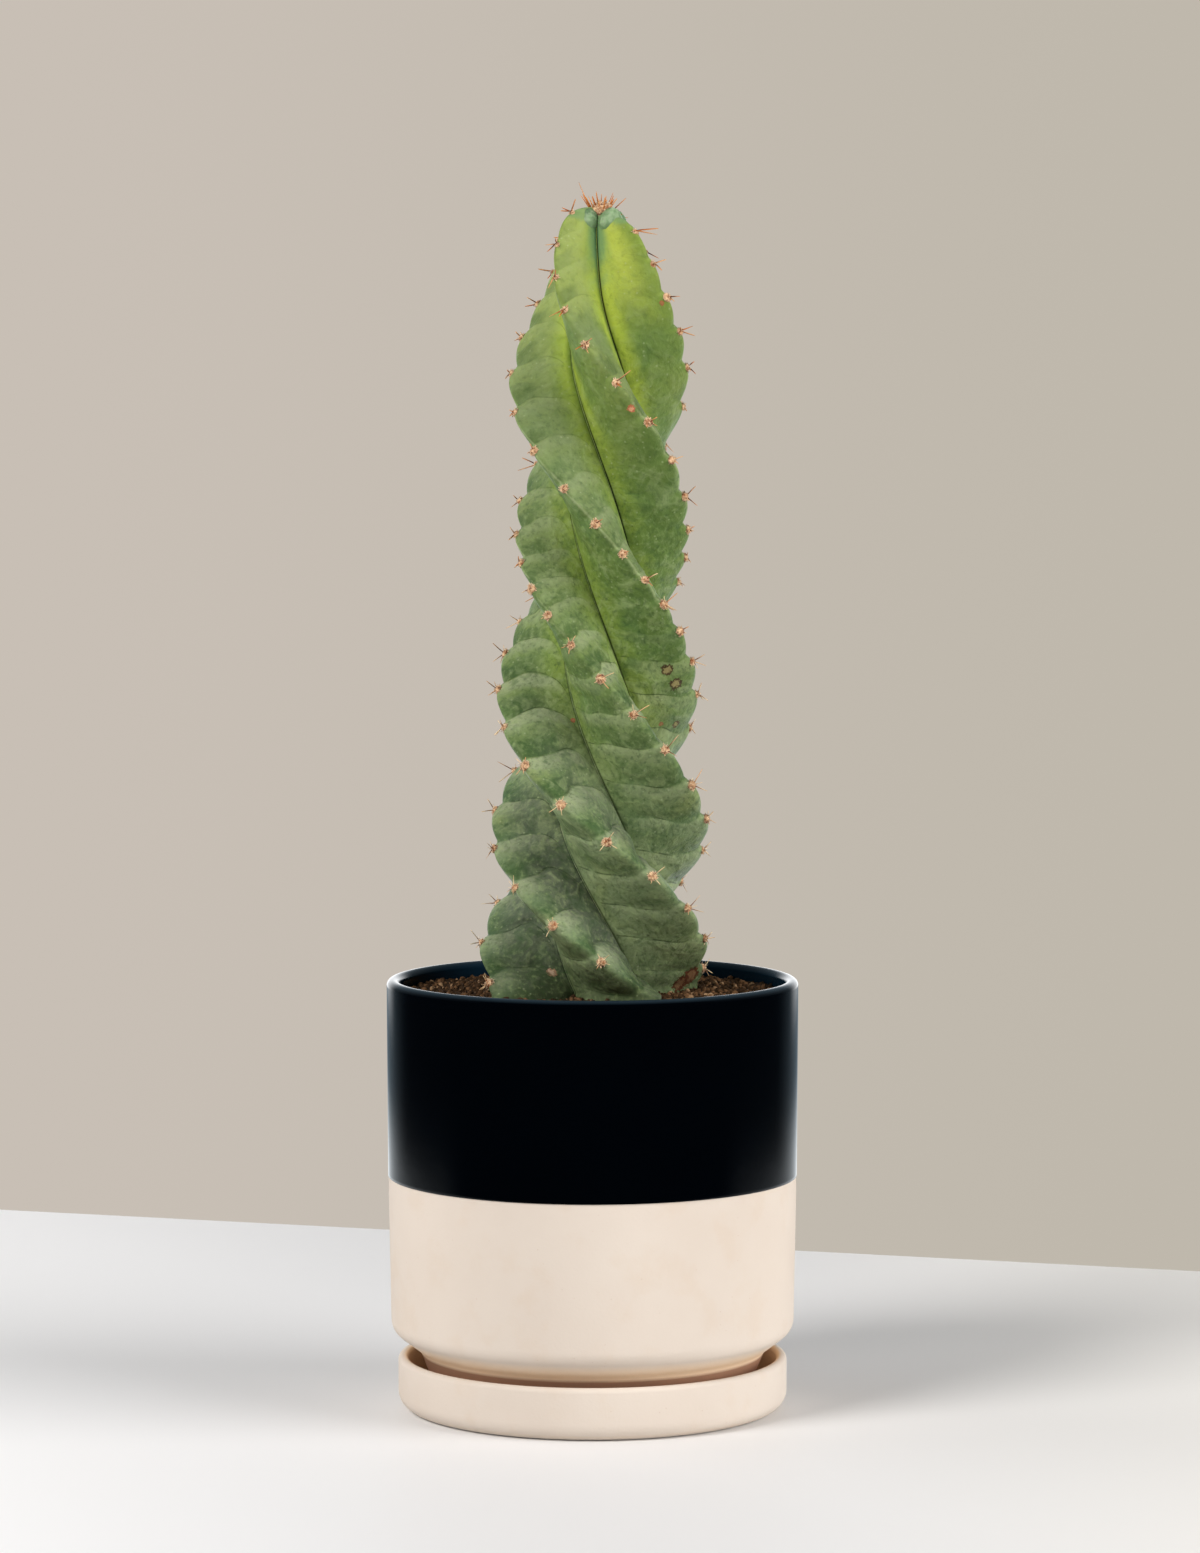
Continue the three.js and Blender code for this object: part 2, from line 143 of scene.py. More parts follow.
def plug(value, slot):
    """Links a wire to a slot, or sets a plain value on it."""
    if isinstance(value, Wire):
        value.tree.links.new(value.socket, slot)
    else:
        slot.default_value = value


def named(sockets, name):
    """The socket of that name that the node's settings leave in use."""
    return next(socket for socket in sockets if socket.name == name and socket.enabled)


def add_node(tree, kind, output, settings=None, **inputs):
    """Adds a node, gives it settings and inputs by name, and returns one of its outputs."""
    node = tree.nodes.new(kind)
    for key, value in (settings or {}).items():
        setattr(node, key, value)
    for key, value in inputs.items():
        plug(value, named(node.inputs, key.replace("_", " ")))
    return Wire(named(node.outputs, output))


def noise(tree, scale, detail, **more):
    """A cloud of values round a half, with so many features to the metre."""
    return add_node(tree, "ShaderNodeTexNoise", "Fac", Scale=scale, Detail=detail, **more)


def vector(tree, x=0, y=0, z=0):
    return add_node(tree, "ShaderNodeCombineXYZ", "Vector", X=x, Y=y, Z=z)


def part_of(wire, letter):
    """One of the three numbers of a vector."""
    return add_node(wire.tree, "ShaderNodeSeparateXYZ", letter, Vector=wire)


print("formulas ready")

# %% [markdown]
# A tree of Geometry Nodes is made once, with a named input for each of its sizes. It gets their
# values by the inputs' identifiers, runs on a base mesh, and its result becomes a plain mesh at
# once, so that nothing live is left on the piece.

# %% Geometry trees
def entry_wires(tree):
    """The inputs of a tree, by name."""
    entry = tree.nodes.new("NodeGroupInput")
    return {socket.name: Wire(socket) for socket in entry.outputs if socket.name}


def geometry_tree(name, sizes):
    """A new geometry tree with a mesh input, an input for each size, and a mesh output."""
    tree = bpy.data.node_groups.new(name, "GeometryNodeTree")
    kinds = {label: "Int" if isinstance(size, int) else "Float" for label, size in sizes.items()}
    for label, kind in {"Geometry": "Geometry", **kinds}.items():
        tree.interface.new_socket(label, in_out="INPUT", socket_type="NodeSocket" + kind)
    tree.interface.new_socket("Geometry", in_out="OUTPUT", socket_type="NodeSocketGeometry")
    return tree, entry_wires(tree)


def attribute(tree, name, kind="FLOAT"):
    """The value that a mesh carries under a name, inside a geometry tree."""
    settings = {"data_type": kind}
    return add_node(tree, "GeometryNodeInputNamedAttribute", "Attribute", settings, Name=name)


def store(geometry, name, value, domain="POINT"):
    """Gives each point, or each instance, a value under a name."""
    settings = {"data_type": "FLOAT", "domain": domain}
    return add_node(geometry.tree, "GeometryNodeStoreNamedAttribute", "Geometry", settings,
                    Geometry=geometry, Name=name, Value=value)


def moved(geometry, **where):
    """The points at a new Position, or moved by an Offset."""
    return add_node(geometry.tree, "GeometryNodeSetPosition", "Geometry", Geometry=geometry,
                    **where)


def realized(geometry):
    return add_node(geometry.tree, "GeometryNodeRealizeInstances", "Geometry", Geometry=geometry)


def finish_tree(geometry, material):
    """Ends a tree with real meshes that wear one material."""
    tree = geometry.tree
    dressed = add_node(tree, "GeometryNodeSetMaterial", "Geometry", Geometry=realized(geometry),
                       Material=material)
    plug(dressed, tree.nodes.new("NodeGroupOutput").inputs["Geometry"])
    return tree


def add_piece(name, mesh):
    mesh.name = name
    piece = bpy.data.objects.new(name, mesh)
    scene.collection.objects.link(piece)
    mesh.shade_smooth()
    return piece


def grow(name, base, make_tree, sizes):
    """Runs a geometry tree on a mesh and returns the result as a plain mesh object."""
    holder = bpy.data.objects.new("holder", base)
    scene.collection.objects.link(holder)
    modifier = holder.modifiers.new("grow", "NODES")
    modifier.node_group = make_tree(sizes)
    for item in modifier.node_group.interface.items_tree:
        if item.in_out == "INPUT" and item.name in sizes:
            modifier[item.identifier] = sizes[item.name]
    holder.update_tag()
    bpy.context.view_layer.update()
    evaluated = holder.evaluated_get(bpy.context.evaluated_depsgraph_get())
    mesh = bpy.data.meshes.new_from_object(evaluated)
    holder.modifiers.remove(modifier)
    bpy.data.objects.remove(holder)
    return add_piece(name, mesh)


print("geometry helpers ready")

# %% [markdown]
# Meshes also come from plain lists of points. One helper gives the points of a mesh named
# values, which its tree or its material can read, and one reads the points' places back.

# %% Points and their values
def add_attributes(mesh, attributes):
    """Gives each point of a mesh named values: numbers, or vectors of three."""
    for key, values in attributes.items():
        flat = np.asarray(values, dtype=np.float32)
        kind, field = ("FLOAT_VECTOR", "vector") if flat.ndim == 2 else ("FLOAT", "value")
        mesh.attributes.new(key, kind, "POINT").data.foreach_set(field, flat.ravel())


def point_cloud(name, places, **values):
    """A mesh of loose points, each with its own values."""
    mesh = bpy.data.meshes.new(name)
    mesh.from_pydata([tuple(place) for place in places], [], [])
    add_attributes(mesh, values)
    return mesh


def points_of(mesh):
    """The places of a mesh's points, in metres, in one row each."""
    places = np.empty(len(mesh.vertices) * 3, dtype=np.float32)
    mesh.vertices.foreach_get("co", places)
    return places.reshape(-1, 3)


def as_mesh(shape, name):
    """Makes a mesh of a closed shape, with its faces outward."""
    bmesh.ops.recalc_face_normals(shape, faces=shape.faces)
    mesh = bpy.data.meshes.new(name)
    shape.to_mesh(mesh)
    shape.free()
    return mesh


def closed_shell(name, rings):
    """A mesh of rings of points, each joined to the next and the last to the first. A ring of
    one point is a pole."""
    shape = bmesh.new()
    rings = [[shape.verts.new(point) for point in ring] for ring in rings]
    for ring, following in zip(rings, rings[1:] + rings[:1]):
        for step in range(max(len(ring) for ring in rings)):
            corners = [around[(step + ahead) % len(around)] for around, ahead
                       in ((ring, 0), (ring, 1), (following, 1), (following, 0))]
            different = list(dict.fromkeys(corners))
            if len(different) > 2:
                shape.faces.new(different)
    return as_mesh(shape, name)


print("mesh helpers ready")

# %% [markdown]
# Shader groups that several finishes share. Mottle is a slow cloud of light and dark, as on
# skin, clay and soil. Specks are small scattered dots. A scar is one round mark with a ragged
# edge. Each group puts out only masks, and the material that uses it decides what they mean.

# %% Shared shader groups
ORIGIN = (0.0, 0.0, 0.0)


def shader_group(name, inputs, outputs):
    """A new shader group. An input's first value says whether it is a number or a vector."""
    tree = bpy.data.node_groups.new(name, "ShaderNodeTree")
    for label, value in inputs.items():
        kind = "NodeSocketVector" if isinstance(value, tuple) else "NodeSocketFloat"
        tree.interface.new_socket(label, in_out="INPUT", socket_type=kind).default_value = value
    for label in outputs:
        tree.interface.new_socket(label, in_out="OUTPUT", socket_type="NodeSocketFloat")
    return tree, entry_wires(tree), tree.nodes.new("NodeGroupOutput").inputs


def make_mottle():
    inputs = {"Place": ORIGIN, "Size": 0.02, "Contrast": 1.0, "Swirl": 0.0}
    tree, wires, outputs = shader_group("mottle", inputs, ["Mask"])
    cloud = noise(tree, 1 / wires["Size"], 4, Vector=wires["Place"], Roughness=0.55,
                  Distortion=wires["Swirl"])
    mask = (cloud - 0.5) * wires["Contrast"] + 0.5
    plug(mask.fit(0, 1, smooth=False), outputs["Mask"])
    return tree


def make_specks():
    inputs = {"Place": ORIGIN, "Size": 0.001, "Amount": 0.3, "Spread": 0.3}
    tree, wires, outputs = shader_group("specks", inputs, ["Mask"])
    away, tint = (add_node(tree, "ShaderNodeTexVoronoi", output, {"feature": "F1"},
                           Vector=wires["Place"], Scale=1 / wires["Size"])
                  for output in ("Distance", "Color"))
    chosen = part_of(tint, "X").math("LESS_THAN", wires["Amount"])
    plug(away.fit(0, wires["Spread"], 1, 0) * chosen, outputs["Mask"])
    return tree


def make_scar():
    """A round mark: its whole disc, and the ring just inside its edge."""
    inputs = {"Place": ORIGIN, "Centre": ORIGIN, "Radius": 0.002}
    tree, wires, outputs = shader_group("scar", inputs, ["Disc", "Ring"])
    ragged = noise(tree, 1100, 4, Vector=wires["Place"])
    away = tree.nodes.new("ShaderNodeVectorMath")
    away.operation = "DISTANCE"
    plug(wires["Place"], away.inputs[0])
    plug(wires["Centre"], away.inputs[1])
    share = Wire(away.outputs["Value"]) / wires["Radius"] + (ragged - 0.5) * 1.5
    plug(share.fit(1.05, 0.85), outputs["Disc"])
    plug(share.fit(0.5, 0.75) * share.fit(1.15, 0.9), outputs["Ring"])
    return tree


def use_group(group, output, **inputs):
    tree = inputs["Place"].tree
    return add_node(tree, "ShaderNodeGroup", output, {"node_tree": group}, **inputs)


def mottle(place, size, contrast, swirl=0):
    return use_group(MOTTLE, "Mask", Place=place, Size=size, Contrast=contrast, Swirl=swirl)


def specks(place, size, amount, spread):
    return use_group(SPECKS, "Mask", Place=place, Size=size, Amount=amount, Spread=spread)


MOTTLE = make_mottle()
SPECKS = make_specks()
SCAR = make_scar()
print("shared groups:", MOTTLE.name, SPECKS.name, SCAR.name)

# %% [markdown]
# Every finish is built in the same steps. Values that are the same all over are set on the
# shader itself. Colours are written as the eye sees them, from 0 to 255, and are laid over each
# other, each through its own mask, as a painter glazes. A bump gives the last fine relief.

# %% Laying colours over each other
def linear(red, green, blue):
    """A colour as seen, from 0 to 255, in the linear values of a shader."""
    shares = [value / 255 for value in (red, green, blue)]
    return (*[((share + 0.055) / 1.055) ** 2.4 if share > 0.04045 else share / 12.92
              for share in shares], 1.0)


def new_material(name, **sockets):
    """A material, its tree, its shader and the place on the piece, with fixed values set."""
    material = bpy.data.materials.new(name)
    material.use_nodes = True
    tree = material.node_tree
    shader = tree.nodes["Principled BSDF"]
    for key, value in sockets.items():
        shader.inputs[key.replace("_", " ")].default_value = value
    place = add_node(tree, "ShaderNodeTexCoord", "Object")
    return material, tree, shader, place


def shader_value(tree, name):
    """The value that a mesh carries under a name, inside a material."""
    return add_node(tree, "ShaderNodeAttribute", "Fac", {"attribute_name": name})


def mix(share, low, high):
    """A colour between two others."""
    return add_node(share.tree, "ShaderNodeMix", "Result", {"data_type": "RGBA"}, Factor=share,
                    A=low, B=high)


def lay(base, *layers):
    """Lays colours, as seen, over a base, each one through its mask."""
    for mask, color in layers:
        base = mix(mask, base, linear(*color))
    return base


def bump(shader, height, distance, strength):
    normal = add_node(height.tree, "ShaderNodeBump", "Normal", Height=height, Distance=distance,
                      Strength=strength)
    plug(normal, shader.inputs["Normal"])


print("colour helpers ready")

# %% [markdown]
# The bare clay is a pale stoneware, fired without glaze. It is matte, a little peachy, with slow
# warm clouds, and so fine-grained that it shows only tiny pores and a few darker grains. A
# faint bump keeps its highlights from looking like plastic.

# %% Bisque clay
def make_bisque():
    material, tree, shader, place = new_material("bisque_clay", Roughness=0.82,
                                                 Specular_IOR_Level=0.25)
    clouds = mottle(place, 0.045, 1.6)
    stains = mottle(place, 0.016, 2.2)
    pores = specks(place, 0.0022, 0.1, 0.16)
    painted_gap_shade = shader_value(tree, "painted_gap_shade")  # painted shade: 1 low in the gap between pot and saucer
    chamfer = shader_value(tree, "chamfer")  # painted bounce light: 1 on the chamfer and the wall across from it
    base = mix(clouds, linear(209, 196, 183), linear(215, 204, 192))
    clay = lay(base,
               (stains.fit(0.5, 0.95, 0, 0.16), (204, 180, 154)),
               # painted bounce light on the chamfer
               (chamfer, (255, 229, 196)),
               # painted shade low in the gap
               (painted_gap_shade * 0.95, (112, 52, 20)),
               (pores * 0.35, (176, 138, 108)))
    plug(clay, shader.inputs["Base Color"])
    bump(shader, noise(tree, 900, 3, Vector=place) - pores * 0.8, 0.00012, 0.5)
    return material


bisque_clay = make_bisque()
print("finish:", bisque_clay.name)

# %% [markdown]
# The glaze is a near-black navy with a satin surface. Almost all that the eye sees of it is what
# it reflects at a glancing angle: blue-grey along its two sides and round its lip. A low
# specular level keeps its middle black, and tiny specks break its evenness. A paler blue is
# painted on the crown of the lip and inside it, as a painted sheen in place of the reflection
# there.

# %% Navy glaze
def make_glaze():
    material, tree, shader, place = new_material("navy_glaze", Roughness=0.12,
                                                 Specular_IOR_Level=0.04)
    dust = specks(place, 0.006, 0.08, 0.04)
    clouds = mottle(place, 0.03, 1)
    glaze = lay(mix(clouds, linear(1, 2, 4), linear(1, 3, 6)),
                # painted sheen inside the lip and on its crown, in place of the reflection there
                (shader_value(tree, "inner"), (14, 36, 50)),
                (shader_value(tree, "crown"), (28, 40, 48)),
                (dust * 0.5, (50, 60, 72)))
    plug(glaze, shader.inputs["Base Color"])
    bump(shader, noise(tree, 140, 2, Vector=place), 0.0001, 0.12)
    return material


navy_glaze = make_glaze()
print("finish:", navy_glaze.name)

# %% [markdown]
# Round pottery is turned: a profile of radii and heights goes once round. Every corner of a
# fired pot is a little round, so a profile here is a list of corners, each with the radius of
# its own arc, and one helper puts the arcs in.

# %% Turning a profile
TURN_SEGMENTS = 192
ARC_STEPS = 7


def rounded(*corners):
    """An open profile through (radius, height, rounding) corners, each one cut by an arc."""
    points = []
    for index, (across, height, rounding) in enumerate(corners):
        here = Vector((across, height))
        if rounding == 0:
            points.append(here)
            continue
        before = (Vector(corners[index - 1][:2]) - here).normalized()
        after = (Vector(corners[index + 1][:2]) - here).normalized()
        half_angle = before.angle(after) / 2
        reach = rounding / math.tan(half_angle)
        centre = here + (before + after).normalized() * rounding / math.sin(half_angle)
        start = (here + before * reach - centre).normalized()
        end = (here + after * reach - centre).normalized()
        points += [centre + start.slerp(end, step / ARC_STEPS) * rounding
                   for step in range(ARC_STEPS + 1)]
    return points


def inset(points, depth):
    """The same open profile, moved to its right by a depth, as seen when walking along it."""
    moved_points = []
    for index, point in enumerate(points):
        ahead = points[min(index + 1, len(points) - 1)] - points[max(index - 1, 0)]
        moved_points.append(point + Vector((ahead.y, -ahead.x)).normalized() * depth)
    return moved_points


def turn(name, profile):
    """Turns a closed profile, in millimetres, about the axis. A radius of 0 makes a pole."""
    rings = []
    for across, height in profile:
        count = TURN_SEGMENTS if across > 0 else 1
        angles = [2 * math.pi * step / count for step in range(count)]
        rings.append([(across * mm * math.cos(angle), across * mm * math.sin(angle), height * mm)
                      for angle in angles])
    return closed_shell(name, rings)


print("turning with", TURN_SEGMENTS, "segments")

# %% [markdown]
# The saucer is a shallow dish with a thick wall and a soft corner under it. The pot stands on
# its floor. Between the pot's chamfer and the saucer's wall there is a narrow gap, and its light
# and shade are painted into the clay: a painted warm glow of bounced light near the rim, and
# painted shade low in the gap. The meshes of both pieces carry those two painted tones as values.

# %% Saucer
SAUCER_WALL = 4
SAUCER_FLOOR = 5
SAUCER_CORNER = 6.5
SAUCER_FILLET = 3
SAUCER_RIM_ROUND = SAUCER_WALL * 0.48
BOUNCE_LIGHT_TOP = 8  # how far over the saucer's rim the painted bounce light reaches on the pot, mm
BOUNCE_LIGHT_FADE = 5
SHADE_TOP = 1.8  # how far over the rim the painted shade reaches, mm
SHADE_FADE = 1.6
saucer_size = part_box("saucer")[1] / mm


def shade_gap(mesh, wall_radius, shade_strength, bounce_light_depth):
    """Marks two painted tones of the clay: painted shade low in the gap, and painted bounce light
    in its lit part.
    """
    points = points_of(mesh)
    over_rim = points[:, 2] / mm - saucer_size.z
    inside = np.clip(wall_radius - np.hypot(points[:, 0], points[:, 1]) / mm, 0, 1)
    off_table = over_rim > 1 - saucer_size.z
    # painted bounce light: pale is 1 on the chamfer and on the saucer's inner wall
    pale = np.clip(over_rim + bounce_light_depth, 0, 1) * np.clip((BOUNCE_LIGHT_TOP - over_rim) / BOUNCE_LIGHT_FADE, 0, 1)
    # painted shade low in the gap
    painted_shade = np.clip((SHADE_TOP - over_rim) / SHADE_FADE, 0, 1) * shade_strength * off_table
    add_attributes(mesh, {"painted_gap_shade": inside * painted_shade, "chamfer": inside * pale})


saucer_profile = [Vector((0, 0))] + rounded(
    (1, 0, 0),
    (saucer_size.x, 0, SAUCER_CORNER),
    (saucer_size.x, saucer_size.z, SAUCER_RIM_ROUND),
    (saucer_size.x - SAUCER_WALL, saucer_size.z, SAUCER_RIM_ROUND),
    (saucer_size.x - SAUCER_WALL, SAUCER_FLOOR, SAUCER_FILLET),
    (1, SAUCER_FLOOR, 0),
) + [Vector((0, SAUCER_FLOOR))]
saucer = add_piece("saucer_dish", turn("saucer_dish", saucer_profile))
shade_gap(saucer.data, saucer_size.x - SAUCER_WALL / 2, shade_strength=0.14, bounce_light_depth=saucer_size.z - 1)
saucer.data.materials.append(bisque_clay)
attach(saucer, "root")
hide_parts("saucer")
print("saucer: radius", round(saucer_size.x, 1), "height", round(saucer_size.z, 1), "mm")

# %% [markdown]
# The pot is one turned wall. The upper part was dipped in glaze, which left a coat a third of a
# millimetre thick with a soft lower edge. The clay is modelled a little thinner under the coat,
# and the coat is a closed shell of its own, so the edge between the two catches the light.

# %% Profiles of the pot
GLAZE_LINE = 87.2
GLAZE_THICKNESS = 0.3
COAT_GAP = 0.02  # between the clay and its coat, so that the two never share a surface
COAT_END = 138  # where the coat ends on the inside, under the soil
POT_TAPER = 0.4  # by which the glaze line's radius falls short of the lip's
POT_LIP = 5
POT_LIP_ROUND = POT_LIP * 0.49
POT_WALL = 5.5
POT_FLOOR = 7.5
POT_DRAIN = 7
pot_low, pot_high = (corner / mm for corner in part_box("pot"))
pot_base = pot_low.z
waist_radius = pot_high.x - POT_TAPER
coat_outside = rounded(
    (waist_radius, GLAZE_LINE, 0),
    (waist_radius, GLAZE_LINE + 1, 0),
    (pot_high.x, pot_high.z, POT_LIP_ROUND),
    (pot_high.x - POT_LIP, pot_high.z, POT_LIP_ROUND),
    (pot_high.x - POT_WALL, COAT_END, 0),
)
coat_inside = inset(coat_outside, -GLAZE_THICKNESS)
clay_under_coat = inset(coat_outside, -GLAZE_THICKNESS - COAT_GAP)
clay_below = rounded(  # the foot, up the chamfer to the straight wall, and up to the coat
    (POT_DRAIN, pot_base, 0),
    (58, pot_base, 1.2),
    (64.3, pot_base + 16.5, 6),
    (75, pot_base + 24.6, 7),
    (waist_radius - GLAZE_THICKNESS * 0.6, GLAZE_LINE - 6, 0),
)
clay_inside = rounded(  # down the inner wall, in along the chamfer, and to the drain hole
    (70, 100, 0),
    (69, pot_base + 31, 8),
    (56, pot_base + 15, 6),
    (54, pot_base + POT_FLOOR, 2),
    (POT_DRAIN, pot_base + POT_FLOOR, 0),
)
print("pot: glazed down to", GLAZE_LINE, "mm")

# %% Pot body and glaze coat
CROWN_SHEEN_START = 1.3  # how far under the lip's top the crown's painted sheen starts, mm
pot_profile = clay_below + clay_under_coat + clay_inside
pot_body = add_piece("pot_body", turn("pot_body", pot_profile))
shade_gap(pot_body.data, pot_high.x, shade_strength=1, bounce_light_depth=1)
pot_body.data.materials.append(bisque_clay)
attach(pot_body, "root")
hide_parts("pot")

glaze_coat = add_piece("glaze_coat", turn("glaze_coat", coat_outside + coat_inside[::-1]))
coat_x, coat_y, coat_z = points_of(glaze_coat.data).T / mm
# painted sheen: the crown of the lip and the inside wall get a paler blue
add_attributes(glaze_coat.data, {
    "crown": np.clip(coat_z - pot_high.z + CROWN_SHEEN_START, 0, 1),
    "inner": np.clip(pot_high.x - POT_LIP * 0.6 - np.hypot(coat_x, coat_y), 0, 1)})
glaze_coat.data.materials.append(navy_glaze)
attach(glaze_coat, "root")
print("pot:", len(pot_profile), "profile points, coat:", len(coat_outside) * 2)

# %% [markdown]
# The stem is the heart of the object, and its shape follows rules. Four ribs wind round one
# axis. A few smooth curves say, for each height, how wide the ribs stand, how far they have
# turned, and how many areoles lie between that height and the tip. Each rib wanders a little
# from the others, as grown things do.

# %% Curves of growth
GROUND_LINE = 157
STEM_END = 128
STEM_TIP = 445.6
DOME_START = 375
DOME_SHAPE = 1.45
DOME_ROUNDNESS = 0.28
RIBS = 4
UPPER_GROOVE_TURN = 37  # degrees from a crest to the groove above it
LOWER_GROOVE_TURN = 360 / RIBS - UPPER_GROOVE_TURN


def curve_through(*knots):
    """A smooth curve through (height, value) pairs, as a function of height."""
    heights, values = np.array(knots, dtype=float).T
    order = np.arange(len(heights))
    before, after = np.maximum(order - 1, 0), np.minimum(order + 1, len(heights) - 1)
    slopes = (values[after] - values[before]) / (heights[after] - heights[before])

    def curve(height):
        index = np.searchsorted(heights, height, side="right") - 1
        index = np.clip(index, 0, len(heights) - 2)
        span = heights[index + 1] - heights[index]
        share = np.clip((height - heights[index]) / span, 0, 1)
        rise = values[index + 1] - values[index]
        start, end = slopes[index] * span - rise, slopes[index + 1] * span - rise
        eased = share * (1 - share) * ((1 - share) * start - share * end)
        return values[index] + rise * share + eased

    return curve


crest_radius = curve_through((150, 44), (172, 40), (220, 39.8), (255, 37), (290, 33.3),
                             (325, 31.3), (360, 32), (446, 31))
twist = curve_through((150, 492), (220, 354), (290, 241), (360, 129), (395, 75), (415, 51),
                      (446, 31))
areole_count = curve_through((150, 23.8), (185, 21.1), (220, 18.4), (255, 15.8), (290, 13),
                             (325, 9.4), (360, 6.7), (395, 4.2), (446, 0))
lean = curve_through((150, 0.8), (250, 2.4), (350, 3.6), (446, 3))
scallop_height = curve_through((150, 2.8), (250, 2.4), (350, 2.6), (420, 2), (446, 0.6))
pillow_height = curve_through((150, 4), (230, 3.3), (262, 1.8), (285, 0.7), (310, 0.25),
                              (446, 0.1))
print("turns of the stem above the soil:",
      round((twist(GROUND_LINE) - twist(STEM_TIP)) / 360, 2))

# %% [markdown]
# Each rib has its own small differences, given at five heights: how far it runs ahead of the
# common twist, how far it stands proud, how its areoles are out of step with the others', and
# how early its crest closes into the tip.

# %% How each rib wanders
AREOLE_PHASE = (0.8, 0.21, 0.97, 0.37)  # by which each rib's row starts below the tip, in steps
WANDER_HEIGHTS = (160, 230, 300, 370, 425)
TURN_AHEAD = ((1, 1, 1, 5, 10), (3, -1, -4, 3, 3), (8, -2, 0, -3, -3), (-6, 0, 4, -5, -5))
STAND_PROUD = ((0, 1.5, 1, 0, 0), (-1.5, -1.5, -0.5, 0, 0), (2, 0.5, -0.5, 1.5, 1.5),
               (0, 0, 0, -1.5, -1.5))
CLOSES_EARLY = (3, 0, 1.5, 4)  # how far below the tip each rib's crest closes, mm
LEAST_CREST = 0.4  # the share of the groove's radius that a crest keeps at the very tip
turn_ahead, stand_proud = (
    [curve_through(*zip(WANDER_HEIGHTS, values)) for values in rows_of_ribs]
    for rows_of_ribs in (TURN_AHEAD, STAND_PROUD))


def closing(height):
    """The share of its full radius that the stem keeps as it closes towards the tip."""
    share = np.clip((height - DOME_START) / (STEM_TIP - DOME_START), 0, 1)
    return (1 - share ** DOME_SHAPE) ** DOME_ROUNDNESS


print("ribs:", RIBS)

# %% [markdown]
# The fine mesh starts as a plain grid: columns go round the stem from groove to crest to groove,
# and rows go up it. The columns crowd together at the crests and in the grooves, where the form
# bends most, and the rows crowd together at the tip.

# %% Grid of the stem
FLANK_COLUMNS = 24
CROWDING = 0.65  # how far the columns follow the crowded spacing, and not the even one
ROW_STEP = 0.8
DOME_ROWS = 30
DOME_ROWS_START = 436
TIP_CLOSENESS = 2.2  # how strongly the last rows crowd together at the tip
BURIED_ROWS = (STEM_END, 140, 150, 154)


def flank_shares():
    """Shares of the way from a groove to the crest, crowded at both ends."""
    even = np.arange(FLANK_COLUMNS) / FLANK_COLUMNS
    eased = 0.5 - 0.5 * np.cos(np.pi * even)
    return (1 - CROWDING) * even + CROWDING * eased


def row_heights():
    straight = np.arange(GROUND_LINE, DOME_ROWS_START, ROW_STEP)
    shares = np.arange(1, DOME_ROWS) / DOME_ROWS
    dome = STEM_TIP - (STEM_TIP - straight[-1]) * (1 - shares) ** TIP_CLOSENESS
    return np.concatenate([BURIED_ROWS, straight, dome])


def stem_columns():
    """Rib, side and share along the flank for each column, turning towards larger angles."""
    shares = flank_shares()
    columns = []
    for sector in range(RIBS):
        rib = (RIBS - sector) % RIBS
        columns += [(rib, -1, share) for share in shares]
        columns += [(rib, 1, share) for share in [1.0, *shares[:0:-1]]]
    return np.array(columns)


def grid_mesh(name, rows, columns):
    """A closed grid of points: columns go round, and a pole closes each end."""
    count = rows * columns
    row, column = np.meshgrid(np.arange(rows - 1), np.arange(columns), indexing="ij")
    beside = (column + 1) % columns
    here, there = row * columns, (row + 1) * columns
    quads = np.stack([here + column, here + beside, there + beside, there + column], axis=-1)
    ring = np.arange(columns)
    after = (ring + 1) % columns
    top = count - columns
    low_fan = np.stack([np.full(columns, count), after, ring], axis=-1)
    high_fan = np.stack([np.full(columns, count + 1), top + ring, top + after], axis=-1)
    faces = quads.reshape(-1, 4).tolist() + low_fan.tolist() + high_fan.tolist()
    mesh = bpy.data.meshes.new(name)
    mesh.from_pydata(np.zeros((count + 2, 3)).tolist(), [], faces)
    return mesh


columns = stem_columns()
rows = row_heights()
stem_grid = grid_mesh("stem_grid", len(rows), len(columns))
print("stem grid:", len(rows), "rows of", len(columns), "points")

# %% [markdown]
# The grid's points carry what the rules need as named values, such as how far a point is along
# its flank, so the tree that shapes the stem has no lists to read. Each value has a row for
# each height and a column for each line up the stem, and one more number for each pole.

